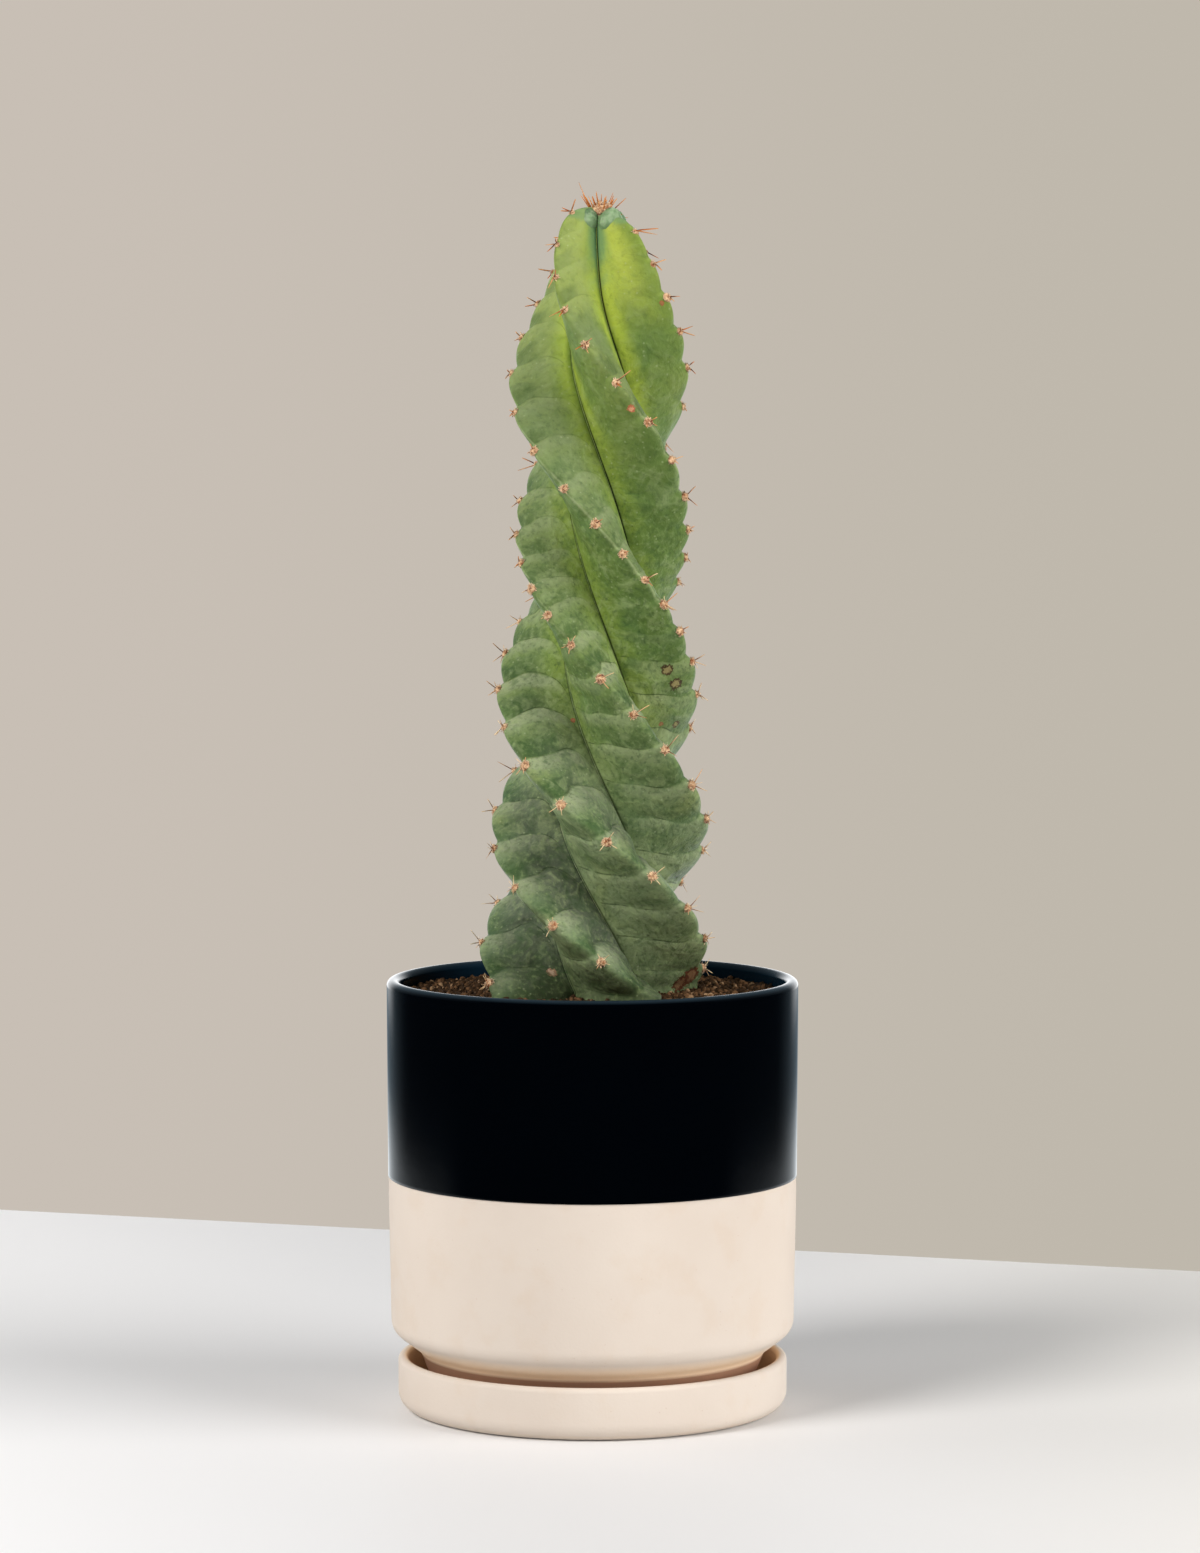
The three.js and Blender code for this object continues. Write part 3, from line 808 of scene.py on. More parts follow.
# %% Values of the grid
z, rib = np.meshgrid(rows, columns[:, 0].astype(int), indexing="ij")
side = np.broadcast_to(columns[:, 1], z.shape)
along = np.broadcast_to(columns[:, 2], z.shape)
shaped = np.maximum(z, GROUND_LINE)
ahead = np.choose(rib, [curve(shaped) for curve in turn_ahead])
proud = np.choose(rib, [curve(shaped) for curve in stand_proud])
shut = closing(shaped)
crest_shut = np.maximum(closing(shaped + np.choose(rib, CLOSES_EARLY)), LEAST_CREST * shut)
groove_turn = np.where(side > 0, UPPER_GROOVE_TURN - ahead, -LOWER_GROOVE_TURN - ahead)
pace = areole_count(shaped - 0.5) - areole_count(shaped + 0.5)
grid_values = {  # the value at each point, then at the lower and at the upper pole
    "height": (z, STEM_END, STEM_TIP),
    "lean": (lean(shaped), lean(GROUND_LINE), lean(STEM_TIP)),
    "azimuth": (np.radians(twist(shaped) + ahead - 360 / RIBS * rib), 0, 0),
    "crest": (crest_radius(shaped) + proud, 0, 0),
    "base": (crest_radius(shaped), 0, 0),
    "groove_turn": (np.radians(groove_turn), 0, 0),
    "along": (along, 0, 0),
    "side": (side, 1, 1),
    "rib": (rib, 0, 0),
    "step": (areole_count(shaped) - np.choose(rib, AREOLE_PHASE), 24, 0),
    "pace": (pace, 0.1, 0.1),
    "closing": (shut, 0, 0),
    "crest_closing": (crest_shut, 0, 0),
    "scallop": (scallop_height(shaped), 0, 0),
    "pillow": (pillow_height(shaped), 0, 0),
}
add_attributes(stem_grid, {name: np.append(values.ravel(), poles)
                           for name, (values, *poles) in grid_values.items()})
print("values at each point:", ", ".join(grid_values))

# %% [markdown]
# A few old scars mark the stem: ringed brown spots, corky patches near the soil, and places
# where an areole or a bud was lost. Each is a place in space and a radius, and the skin takes
# its colours wherever it passes through that ball.

# %% Scars
SCARS = (  # centre and radius in mm, then the colours of the disc and of its ring
    ((27.5, -10.9, 275.7), 2.2, (140, 126, 84), (56, 38, 24)),
    ((30.8, -7.0, 270.3), 2.5, (146, 132, 88), (50, 34, 22)),
    ((31.0, 3.9, 254.9), 1.6, (132, 122, 78), (74, 56, 34)),
    ((-7.1, -13.6, 257.4), 0.9, (150, 100, 72), (140, 84, 60)),
    ((25.4, -1.2, 255.2), 0.9, (140, 104, 66), (126, 84, 56)),
    ((25.5, -13.7, 410.2), 0.9, (150, 100, 66), (150, 84, 58)),
    ((14.1, -29.5, 371.6), 1.5, (214, 156, 120), (178, 96, 66)),
    ((-14.9, -14.9, 164.4), 2.0, (200, 172, 144), (146, 116, 88)),
    ((36.4, 6.1, 160.2), 4.4, (112, 80, 56), (70, 34, 20)),
    ((32.6, 4.3, 158.1), 3.6, (104, 76, 52), (66, 34, 22)),
)
SCAR_STRENGTH = 0.9


def lay_scars(skin, place):
    for centre, radius, disc, ring in SCARS:
        spot = {"Place": place, "Centre": Vector(centre) * mm, "Radius": radius * mm}
        skin = lay(skin, (use_group(SCAR, "Disc", **spot) * SCAR_STRENGTH, disc),
                   (use_group(SCAR, "Ring", **spot) * SCAR_STRENGTH, ring))
    return skin


print("scars:", len(SCARS))

# %% [markdown]
# The skin shows what the plant has been through. Young flesh near the tip is lime green, older
# flesh is darker and greyer. Each areole pushes up a pillow of flesh between two creases: its
# upper side carries a pale waxy bloom together with painted light, and its lower side is worn to
# dark green together with painted shade, as if lit from above. The creases carry a dark line that
# is partly painted shade. The grooves stay yellow-green, with painted shade along their edges and
# as a thin dark line at the bottom. The foot of the stem is painted darker as shade, a thin
# painted highlight runs along the crests, and fine mottling covers all of it. The mesh carries how
# far a point is along its flank and its place between creases, so the colours follow the form and
# stay with it from every side.

# %% Cactus flesh
def make_flesh():
    material, tree, shader, place = new_material(
        "cactus_flesh", Roughness=0.5, Specular_IOR_Level=0.12, Subsurface_Weight=0.12,
        Subsurface_Scale=0.004, Subsurface_Radius=(0.5, 1.0, 0.3))
    height = shader_value(tree, "height_share")
    flank = shader_value(tree, "flank")  # -1 and 1 in the grooves, 0 on the crest
    crease = shader_value(tree, "crease").math("FRACT")  # 0 just under a crease, 1 just over one
    young = shader_value(tree, "young")
    clouds = mottle(place, 0.03, 1.8, 0.5)
    patches = mottle(place, 0.011, 2.6, 1.2)
    blotches = mottle(place, 0.005, 2.4, 0.8)
    fine = mottle(place, 0.0018, 2)
    dots = specks(place, 0.0016, 0.25, 0.3)
    pale_dots = specks(place, 0.0023, 0.3, 0.25)
    from_crest = flank.math("ABSOLUTE")
    upper = flank.fit(-0.05, 0.05)
    ragged = crease + (patches - 0.5) * 0.22 + (blotches - 0.5) * 0.14

    def by_flank(on_lower, on_upper):
        return upper.fit(0, 1, on_lower, on_upper)

    # Each pillow's top is paler, partly bloom and partly painted light; its underside is darker,
    # partly wear and partly painted shade.
    bloom_and_painted_light = crease.fit(0, 0.05) * ragged.fit(0.18, 0.5, 1, 0) * from_crest.fit(0.98, 0.7)
    bloom_and_painted_light = bloom_and_painted_light * height.fit(0.6, 0.9, 1, 0.25)
    bloom_and_painted_light = bloom_and_painted_light * by_flank(height.fit(0.35, 0.55, 0.45, 0.1), 1)
    wear_and_painted_shade = ragged.fit(0.5, 0.66) * crease.fit(1, 0.985)
    wear_and_painted_shade = wear_and_painted_shade * from_crest.fit(0.75, 0.3) * (1 - height.fit(0.4, 0.7) * from_crest.fit(0.2, 0.5))
    wear_and_painted_shade = wear_and_painted_shade * clouds.fit(0.2, 0.55, 0.2, 1) * height.fit(0.86, 0.97, 1, 0.3)
    wear_and_painted_shade = wear_and_painted_shade * by_flank(height.fit(0.15, 0.6, 0.6, 0.2), 1)
    aged = height.fit(0.45, 0.95, 1, 0.35)
    # A dark line along each crease: partly the skin's own mark, partly painted shade in the
    # crease.
    near_crease = (crease - 0.5).math("ABSOLUTE")
    crease_line_and_shade = near_crease.fit(0.47, 0.497) * from_crest.fit(0.05, 0.3, 0.3, 1)
    crease_line_and_shade = crease_line_and_shade * from_crest.fit(0.98, 0.9) * height.fit(0.96, 0.85)
    crease_line_and_shade = crease_line_and_shade * (patches * 0.5 + clouds * 0.5).fit(0.35, 0.6, 0.1, 1)
    crease_line_and_shade = crease_line_and_shade * (upper + (1 - upper) * height.fit(0.7, 0.35, 0.15, 1))
    crease_line_and_shade = crease_line_and_shade * height.fit(0.4, 0.52, 1, 0.4)
    skin = lay(
        linear(108, 125, 92),
        # Age: lime green above, dull and grey below, in slow clouds.
        (height.fit(0.05, 0.5), (103, 123, 66)),
        ((height + clouds * 0.16).fit(0.78, 1.05), (150, 166, 74)),
        (clouds.fit(0.5, 0.8) * 0.4, (140, 148, 86)),
        (clouds.fit(0.5, 0.2) * 0.35, (84, 114, 78)),
        # The two flanks, and the yellow-green of the grooves.
        ((1 - upper) * height.fit(0.25, 0.5) * 0.5, (84, 112, 46)),
        (upper * height.fit(0.3, 0.6) * from_crest.fit(0.85, 0.5) * 0.4, (128, 140, 98)),
        (from_crest.fit(0.45, 0.95) * height.fit(0.15, 0.5) * patches.fit(0, 0.5, 0.3, 0.55),
         (132, 152, 60)),
        (from_crest.fit(0.62, 0.92) * height.fit(0.6, 0.85) * by_flank(0.6, 0.35), (176, 192, 66)),
        (from_crest.fit(0.05, 0.5) * height.fit(0.82, 0.95) * by_flank(0.65, 0.1), (190, 200, 84)),
        # Wax and wear on each pillow, partly painted light and painted shade, and the greyed flesh
        # near the soil.
        (bloom_and_painted_light * height.fit(0.38, 0.52, 0.6, 0.22), (164, 172, 138)),
        (wear_and_painted_shade * height.fit(0.38, 0.52, 0.8, 0.5), (58, 82, 46)),
        (height.fit(0.45, 0.1) * from_crest.fit(0, 0.5) * upper * 0.8, (92, 97, 82)),
        (height.fit(0.42, 0.25) * clouds.fit(0.3, 0.6) * from_crest.fit(0.1, 0.5) * upper * 0.5,
         (66, 76, 62)),
        (height.fit(0.3, 0.05) * (1 - upper) * 0.55, (136, 150, 106)),
        # Mottling in light and dark, at two sizes.
        (patches.fit(0.55, 0.85) * aged * 0.22, (160, 174, 124)),
        (patches.fit(0.45, 0.15) * aged * 0.25, (62, 92, 48)),
        (blotches.fit(0.58, 0.9) * aged * 0.22, (156, 172, 124)),
        (blotches.fit(0.42, 0.1) * aged * 0.34, (58, 84, 48)),
        # Lines: the creases, partly painted shade; painted shade at the foot and at the edge of
        # the groove; a painted highlight on the crest.
        (crease_line_and_shade * 0.72, (38, 54, 30)),
        (height.fit(0.07, 0) * clouds.fit(0.2, 0.6, 0.35, 0.75), (50, 62, 36)),
        # painted shade at the edge of the groove
        (from_crest.fit(0.86, 0.98) * height.fit(0.55, 0.8) * by_flank(0.3, 0.7), (66, 92, 30)),
        # painted highlight along the crest
        (from_crest.fit(0.014, 0) * height.fit(0.42, 0.52) * height.fit(0.82, 0.72)
         * patches.fit(0.2, 0.5) * 0.28,
         (190, 200, 154)),
        # Fine grain and dots.
        ((fine - 0.5).fit(0, 0.5) * aged * 0.3, (150, 168, 112)),
        ((0.5 - fine).fit(0, 0.5) * aged * 0.5, (50, 72, 42)),
        (dots * height.fit(1, 0.3, 0.05, 0.4), (46, 66, 36)),
        (pale_dots * 0.35, (178, 188, 148)),
        # The blue-green tip, painted shade in the grooves near the tip and as a dark line along
        # them, and the young tubercles.
        ((height + patches * 0.04).fit(0.9, 0.99) * from_crest.fit(0.6, 0.88) * 0.85,
         (98, 136, 94)),
        ((height + patches * 0.02).fit(0.99, 1) * 0.6, (108, 142, 98)),
        # painted shade in the grooves
        (from_crest.fit(0.9, 0.97) * height.fit(0.9, 0.98) * 0.6, (52, 92, 60)),
        (from_crest.fit(0.96, 0.988) * height.fit(0.3, 0.6, 0.7, 0.97), (16, 28, 10)),
        (young * 0.9, (112, 140, 102)),
        (young * blotches.fit(0.4, 0.8, 0, 0.55), (164, 184, 148)),
        (young * patches.fit(0.6, 0.3, 0, 0.7), (78, 106, 74)),
    )
    plug(lay_scars(skin, place), shader.inputs["Base Color"])
    plug(bloom_and_painted_light.fit(0, 1, 0.48, 0.66) - wear_and_painted_shade * 0.06, shader.inputs["Roughness"])
    grain = noise(tree, 700, 3, Vector=place)
    relief = grain * 0.3 + patches * 1.6 + blotches + fine * 0.5 - dots * 0.4
    bump(shader, relief, 0.0005, 0.4)
    return material


cactus_flesh = make_flesh()
print("finish:", cactus_flesh.name)

# %% [markdown]
# The tree that shapes the stem. For each point it works out the section of its rib: how far out
# of the axis the point lies, and how far to the side of the crest. Swellings between areoles
# lift the crest into scallops and the flanks into pillows. The creases between the pillows
# cross the crest a little above each areole, climb on the upper flank and drop steeply into
# the groove. Such a form would be slow to sculpt by hand, but as a rule it is quick to correct.

# %% Shape of the stem
STEM_SIZES = {"Groove Depth": 0.41, "Flank Power": 1.7, "Crest Power": 0.55, "Notch Power": 0.9,
              "Crest Rise": 2.2, "Upper Rise": 4.0, "Upper Drop": 12.0, "Lower Dip": 3.5,
              "Shoulder": 0.68, "Tip Depth": 0.68, "Wander": 8.0, "Lower Folds": 0.2,
              "Unevenness": 4.5, "Dents": 2.2, "Ground": float(GROUND_LINE), "Tip": STEM_TIP}
TIP_HOLLOW = (385, 435)  # the heights between which the grooves reach the tip's depth
SWELL_TURN = (230, 320)  # the heights between which the scallops draw back to the crest
CREST_SWELL = (2, 6)  # the powers that keep them there, below and above


def make_stem_tree(sizes):
    tree, entry = geometry_tree("stem_shape", sizes)
    height, slant, azimuth, crest, base, turn_to_groove, along, side, rib, step, pace, shut, \
        crest_shut, scallop, pillow = (attribute(tree, name) for name in grid_values)
    bare = 1 - along
    on_upper = side.fit(-1, 1, smooth=False)

    spot = vector(tree, step * 0.9, rib * 7, side * bare * 1.3)
    drift = noise(tree, 1, 1, Vector=spot) - 0.5
    dent = noise(tree, 2.1, 2, Vector=spot) - 0.5
    upper_rise = entry["Upper Rise"] * (1 - along ** 3) - entry["Upper Drop"] * bare ** 9
    lower_rise = entry["Lower Dip"] * (along ** 10 - 1 + bare ** 1.5)
    rise = entry["Crest Rise"] + on_upper * upper_rise + (1 - on_upper) * lower_rise
    rise = rise + drift * entry["Wander"] * bare * along * 4
    crease = step + pace * rise
    below_crease = crease.math("FRACT") ** entry["Shoulder"]
    swelling = (below_crease * math.pi).math("SINE").math("ABSOLUTE")
    swelling = swelling ** entry["Notch Power"] - 0.5

    hollow = entry["Groove Depth"] * height.fit(*TIP_HOLLOW, 1, entry["Tip Depth"]) * base * shut
    groove_out = hollow * turn_to_groove.math("COSINE")
    groove_across = hollow * turn_to_groove.math("SINE")
    reach = along ** height.fit(*SWELL_TURN, *CREST_SWELL)
    crest_out = (crest + scallop * swelling * reach) * crest_shut
    out = groove_out + (crest_out - groove_out) * along
    deep = (0.75 + drift * entry["Unevenness"]).math("MAXIMUM", 0)
    deep = deep * (entry["Lower Folds"] + on_upper * (1 - entry["Lower Folds"]))
    fold = (pillow * swelling * deep + dent * entry["Dents"]) * shut * along * bare * 4
    across = groove_across * (1 - along ** entry["Flank Power"]) ** entry["Crest Power"]
    across = across + side * fold

    ahead, sideways = azimuth.math("COSINE"), azimuth.math("SINE")
    x = slant + out * sideways + across * ahead
    y = across * sideways - out * ahead
    shape = moved(entry["Geometry"], Position=vector(tree, x * mm, y * mm, height * mm))
    share = (height - entry["Ground"]) / (entry["Tip"] - entry["Ground"])
    for name, value in (("crease", crease), ("flank", side * bare), ("height_share", share)):
        shape = store(shape, name, value)
    return finish_tree(shape, cactus_flesh)


stem = grow("stem_skin", stem_grid, make_stem_tree, STEM_SIZES)
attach(stem, "root")
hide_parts("cactus_stem")
print("stem:", len(stem.data.polygons), "faces")

# %% [markdown]
# The growing tip is a ring of young tubercles, one on each rib, that swell up beside the tuft.
# They are blue-green and waxy, and not yet grown into the ribs. Each one is a small egg of flesh
# that is sunk in the tip. One tree puts all four in their places and makes them uneven.

# %% Young tubercles
BUD_REACH = 5.8
BUD_HEIGHTS = (439.6, 440.6, 440, 439.5)
BUD_RADII = (4.6, 4, 4.3, 4.4)
BUD_SIZES = {"Stretch": 1.2, "Unevenness": 1.6 * mm}


def bud_cloud():
    bearings = [math.radians(float(twist(STEM_TIP) + turn_ahead[number](STEM_TIP)) - 90 * number)
                for number in range(RIBS)]
    places = [((float(lean(STEM_TIP)) + BUD_REACH * math.sin(bearing)) * mm,
               -BUD_REACH * math.cos(bearing) * mm, height * mm)
              for bearing, height in zip(bearings, BUD_HEIGHTS)]
    return point_cloud("bud_places", places, size=BUD_RADII)


def ball(tree, radius, subdivisions):
    return add_node(tree, "GeometryNodeMeshIcoSphere", "Mesh", Radius=radius,
                    Subdivisions=subdivisions)


def on_points(points, thing, scale, **more):
    """One copy of a thing on each point."""
    return add_node(points.tree, "GeometryNodeInstanceOnPoints", "Instances", Points=points,
                    Instance=thing, Scale=scale, **more)


def scaled(wire, factor):
    return add_node(wire.tree, "ShaderNodeVectorMath", "Vector", {"operation": "SCALE"},
                    Vector=wire, Scale=factor)


def roughened(geometry, scale, detail, depth):
    """The same surface, moved in and out along its normals by noise."""
    lumps = noise(geometry.tree, scale, detail) - 0.5
    normal = add_node(geometry.tree, "GeometryNodeInputNormal", "Normal")
    return moved(geometry, Offset=scaled(normal, lumps * depth))


def make_bud_tree(sizes):
    tree, entry = geometry_tree("bud_shape", sizes)
    size = attribute(tree, "size")
    scale = vector(tree, size, size, size * entry["Stretch"])
    buds = realized(on_points(entry["Geometry"], ball(tree, mm, 5), scale))
    buds = roughened(buds, 260, 1, entry["Unevenness"])
    for name, value in (("young", 1), ("height_share", 1), ("flank", 0.5), ("crease", 0.4)):
        buds = store(buds, name, value)
    return finish_tree(buds, cactus_flesh)


buds = grow("young_tubercles", bud_cloud(), make_bud_tree, BUD_SIZES)
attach(buds, "root")
print("young tubercles:", RIBS)

# %% [markdown]
# Areoles sit on the crests, one step apart. To place them on the fine mesh and not beside it,
# the crest's own points are read back from the stem, and each areole takes its place and its two
# directions from them: out of the rib, and up along the crest.

# %% Places of the areoles
SLOPE_REACH = 2  # how far below and above an areole the crest's slope is read, mm
stem_points = points_of(stem.data)[:len(rows) * len(columns)].reshape(len(rows), len(columns), 3)


def areole_places():
    """Place, outward direction, rising direction and height share of every areole."""
    places = []
    for rib_number in range(RIBS):
        on_crest = (columns[:, 0] == rib_number) & (columns[:, 2] == 1.0)
        crest_line = stem_points[:, on_crest][:, 0].astype(float)
        above_soil = rows > GROUND_LINE
        counted = areole_count(rows) - AREOLE_PHASE[rib_number]
        for number in range(int(counted[above_soil].max()) + 1):
            height = np.interp(-number, -counted[above_soil], rows[above_soil])
            point, below, above = (
                np.array([np.interp(level, rows, crest_line[:, axis]) for axis in range(3)])
                for level in (height, height - SLOPE_REACH, height + SLOPE_REACH))
            rising = Vector(above - below).normalized()
            away = Vector((point[0] - lean(height) * mm, point[1], 0)).normalized()
            outward = (away - rising * away.dot(rising)).normalized()
            share = (height - GROUND_LINE) / (STEM_TIP - GROUND_LINE)
            places.append((Vector(point), outward, rising, float(share)))
    return places


areoles = areole_places()
print("areoles:", len(areoles))

# %% [markdown]
# A spine is horny and a little glossy: dark at its root, orange-brown to straw along its length,
# and pale at its tip. Older spines have weathered paler. The wool at its foot is matte felt, tan
# to cream, with dark red-brown flecks of old scales in it.

# %% Spine and wool finishes
def make_spine_finish():
    material, tree, shader, place = new_material("spines", Roughness=0.42, Specular_IOR_Level=0.4)
    tip, pale = shader_value(tree, "tip"), shader_value(tree, "pale")
    shaft = mix(pale, linear(184, 98, 30), linear(240, 220, 176))
    root = mix(pale, linear(62, 26, 14), linear(150, 92, 50))
    spine = lay(mix(tip.fit(0.1, 0.5), root, shaft), (tip.fit(0.6, 1) * 0.6, (222, 160, 84)))
    plug(spine, shader.inputs["Base Color"])
    bump(shader, noise(tree, 1500, 2, Vector=place), 0.00005, 0.4)
    return material


def make_wool_finish():
    material, tree, shader, place = new_material("areole_wool", Roughness=0.95, Sheen_Weight=0.25,
                                                 Sheen_Roughness=0.5, Specular_IOR_Level=0.15)
    clumps = mottle(place, 0.0013, 3.2)
    flecks = specks(place, 0.0011, 0.5, 0.5)
    fibre = shader_value(tree, "fibre")
    felt = lay(mix(clumps, linear(140, 82, 46), linear(234, 198, 156)),
               (flecks * (1 - fibre) * 0.85, (78, 32, 18)),
               (fibre * 0.5, (244, 218, 180)))
    plug(felt, shader.inputs["Base Color"])
    bump(shader, clumps, 0.0003, 0.6)
    return material


spine_finish = make_spine_finish()
areole_wool = make_wool_finish()
print("finishes:", spine_finish.name, areole_wool.name)

# %% [markdown]
# Each areole bears a few spines. One long spine points across the upper flank and one down along
# the crest, with shorter ones between, and old areoles near the soil keep more of them. Some
# areoles on the upper stem are weaker than others. A seeded draw varies every spine, and the
# list is worked out once, for one tree to make them all.

# %% Where each spine stands
SPINE_RULE = (  # bearing from the rising crest, clockwise, then length in mm, splay and girth
    (108, 6.4, 60, 1.0), (178, 6.0, 66, 0.9), (256, 4.2, 66, 0.8), (20, 2.8, 58, 0.7),
    (305, 2.6, 66, 0.55), (145, 3.4, 60, 0.55), (215, 2.6, 70, 0.5), (75, 2.4, 72, 0.5))
SPINE_GIRTH = 0.3  # radius at the root, mm
SPINE_ROOT = (0.6, 0.7)  # how far a root stands beside the areole's middle and out of it, mm
BEARING_SPREAD = 13
SPLAY_SPREAD = 14
WEAK_ZONE = (0.45, 0.9)  # the shares of the height between which areoles may be weak
WEAK_VIGOUR = (0.4, 1.15)
FULL_VIGOUR = (0.85, 1.2)
random_spines = random.Random(5)


def towards(angle, start, across):
    """A direction that is turned by an angle from a start towards another direction."""
    return start * math.cos(angle) + across * math.sin(angle)


def spine_rows():
    """Root, direction, length, girth and paleness of every spine."""
    found = []
    for point, outward, rising, share in areoles:
        right = rising.cross(outward)
        count = round(2.6 + 4 * max(0.0, 1 - share * 1.6) + random_spines.uniform(-0.6, 1.2))
        weak = WEAK_ZONE[0] < share < WEAK_ZONE[1]
        vigour = random_spines.uniform(*(WEAK_VIGOUR if weak else FULL_VIGOUR))
        for bearing, length, splay, girth in SPINE_RULE[:count]:
            round_about = math.radians(bearing + random_spines.gauss(0, BEARING_SPREAD))
            lean_out = math.radians(splay + random_spines.uniform(-SPLAY_SPREAD, SPLAY_SPREAD))
            sideways = towards(round_about, rising, right)
            direction = towards(lean_out, outward, sideways)
            grown = length * random_spines.uniform(0.6, 1.15) * vigour * (0.8 + 0.1 * share)
            paleness = (random_spines.uniform(-0.25, 0.35) + (1 - share) * 0.8
                        + (0.3 if girth < 0.8 else 0.0))
            root = point + sideways * SPINE_ROOT[0] * mm + outward * SPINE_ROOT[1] * mm
            found.append((root, direction, grown * mm,
                          girth * (0.6 + 0.4 * share) * SPINE_GIRTH * mm,
                          min(1.0, max(0.0, paleness))))
    return found


spine_list = spine_rows()
print("spines on the areoles:", len(spine_list))

# %% [markdown]
# At the growing tip the youngest spines stand in a tuft, nearly upright and crowded, and lean
# outward towards its edge. Their roots follow the spiral of a sunflower, which fills a disc
# evenly. One lone spine stands out on the left.

# %% The tuft at the tip
TUFT_SPINES = 24
TUFT_RADIUS = 2.8
TUFT_SINK = 3
TUFT_LEAN = (6, 36, 8)  # degrees from upright in the middle, more at the edge, and drawn
LONE_SPINE_ROOT = Vector((-3, -2, -3))
LONE_SPINE_WAY = Vector((-0.42, -0.1, 1))
LONE_SPINE_LENGTH = 12
GOLDEN_ANGLE = math.pi * (3 - math.sqrt(5))
UP = Vector((0, 0, 1))


def tuft_rows():
    """The same five values for each spine of the tuft."""
    found = []
    middle_lean, edge_lean, drawn_lean = TUFT_LEAN
    tip = Vector((float(lean(STEM_TIP)), 0, STEM_TIP)) * mm
    for index in range(TUFT_SPINES):
        away = math.sqrt((index + 0.5) / TUFT_SPINES)
        bearing = index * GOLDEN_ANGLE
        across = Vector((math.cos(bearing), math.sin(bearing), 0))
        lean_out = math.radians(middle_lean + edge_lean * away
                                + random_spines.uniform(-drawn_lean, drawn_lean))
        root = tip + across * TUFT_RADIUS * mm * away - UP * TUFT_SINK * mm
        found.append((root, towards(lean_out, UP, across), random_spines.uniform(5.8, 9) * mm,
                      random_spines.uniform(0.9, 1.2) * SPINE_GIRTH * mm,
                      random_spines.uniform(0, 0.2)))
    found.append((tip + LONE_SPINE_ROOT * mm, LONE_SPINE_WAY.normalized(),
                  LONE_SPINE_LENGTH * mm, SPINE_GIRTH * mm, 0.1))
    return found


spine_list += tuft_rows()
roots, directions, lengths, girths, palenesses = zip(*spine_list)
spine_cloud = point_cloud("spine_places", roots, direction=directions, length=lengths,
                          girth=girths, pale=palenesses)
print("spines in all:", len(spine_list))

# %% [markdown]
# A spine is a thin bent cone. Hundreds of them are alike, so the cone has few faces and is made
# once. The tree stands a copy on each point, turns it along the point's direction, and spins it
# about itself by a seeded draw, so that the bends don't all go one way.

# %% Spines
SPINE_SIZES = {"Bend": 1.1, "Sides": 6, "Seed": 3}
CONE_STEPS = 6


def drawn(tree, low, high, seed):
    """A number, or a vector of three, drawn for each point or instance."""
    kind = "FLOAT_VECTOR" if isinstance(low, tuple) else "FLOAT"
    return add_node(tree, "FunctionNodeRandomValue", "Value", {"data_type": kind}, Min=low,
                    Max=high, Seed=seed)


def spun(rotation, by):
    """A rotation with one more turn in its own axes."""
    return add_node(rotation.tree, "FunctionNodeRotateRotation", "Rotation",
                    {"rotation_space": "LOCAL"}, Rotation=rotation, Rotate_By=by)


def aligned(direction, seed):
    """A rotation that points Z along a direction and spins about it at random."""
    tree = direction.tree
    turned = add_node(tree, "FunctionNodeAlignRotationToVector", "Rotation", {"axis": "Z"},
                      Vector=direction)
    return spun(turned, vector(tree, z=drawn(tree, 0, 2 * math.pi, seed)))


def bent_cone(tree, sides, steps, bend, taper):
    """A cone of unit length along Z that bends towards X, with its place along it as `tip`."""
    line = add_node(tree, "GeometryNodeCurvePrimitiveLine", "Curve", End=(0, 0, 1))
    line = add_node(tree, "GeometryNodeResampleCurve", "Curve", Curve=line, Count=steps)
    share = add_node(tree, "GeometryNodeSplineParameter", "Factor")
    line = moved(store(line, "tip", share), Offset=vector(tree, share * share * bend))
    ring = add_node(tree, "GeometryNodeCurvePrimitiveCircle", "Curve", Resolution=sides, Radius=1)
    return add_node(tree, "GeometryNodeCurveToMesh", "Mesh", Curve=line, Profile_Curve=ring,
                    Scale=(1 - share * 0.97) ** taper, Fill_Caps=True)


def make_spine_tree(sizes):
    tree, entry = geometry_tree("spine_shape", sizes)
    cone = bent_cone(tree, entry["Sides"], CONE_STEPS, entry["Bend"], 0.8)
    girth = attribute(tree, "girth")
    scale = vector(tree, girth, girth, attribute(tree, "length"))
    rotation = aligned(attribute(tree, "direction", "FLOAT_VECTOR"), entry["Seed"])
    return finish_tree(on_points(entry["Geometry"], cone, scale, Rotation=rotation), spine_finish)


spines = grow("spine_set", spine_cloud, make_spine_tree, SPINE_SIZES)
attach(spines, "root")
print("spine mesh:", len(spines.data.polygons), "faces")

# %% [markdown]
# The areole itself is a small cushion of felted wool. A rounded pad, roughened by noise, gives
# the cushion, and short curled fibres that are scattered over it break its outline. One tree
# makes both for all areoles at once, and the cap of wool at the growing tip as well.

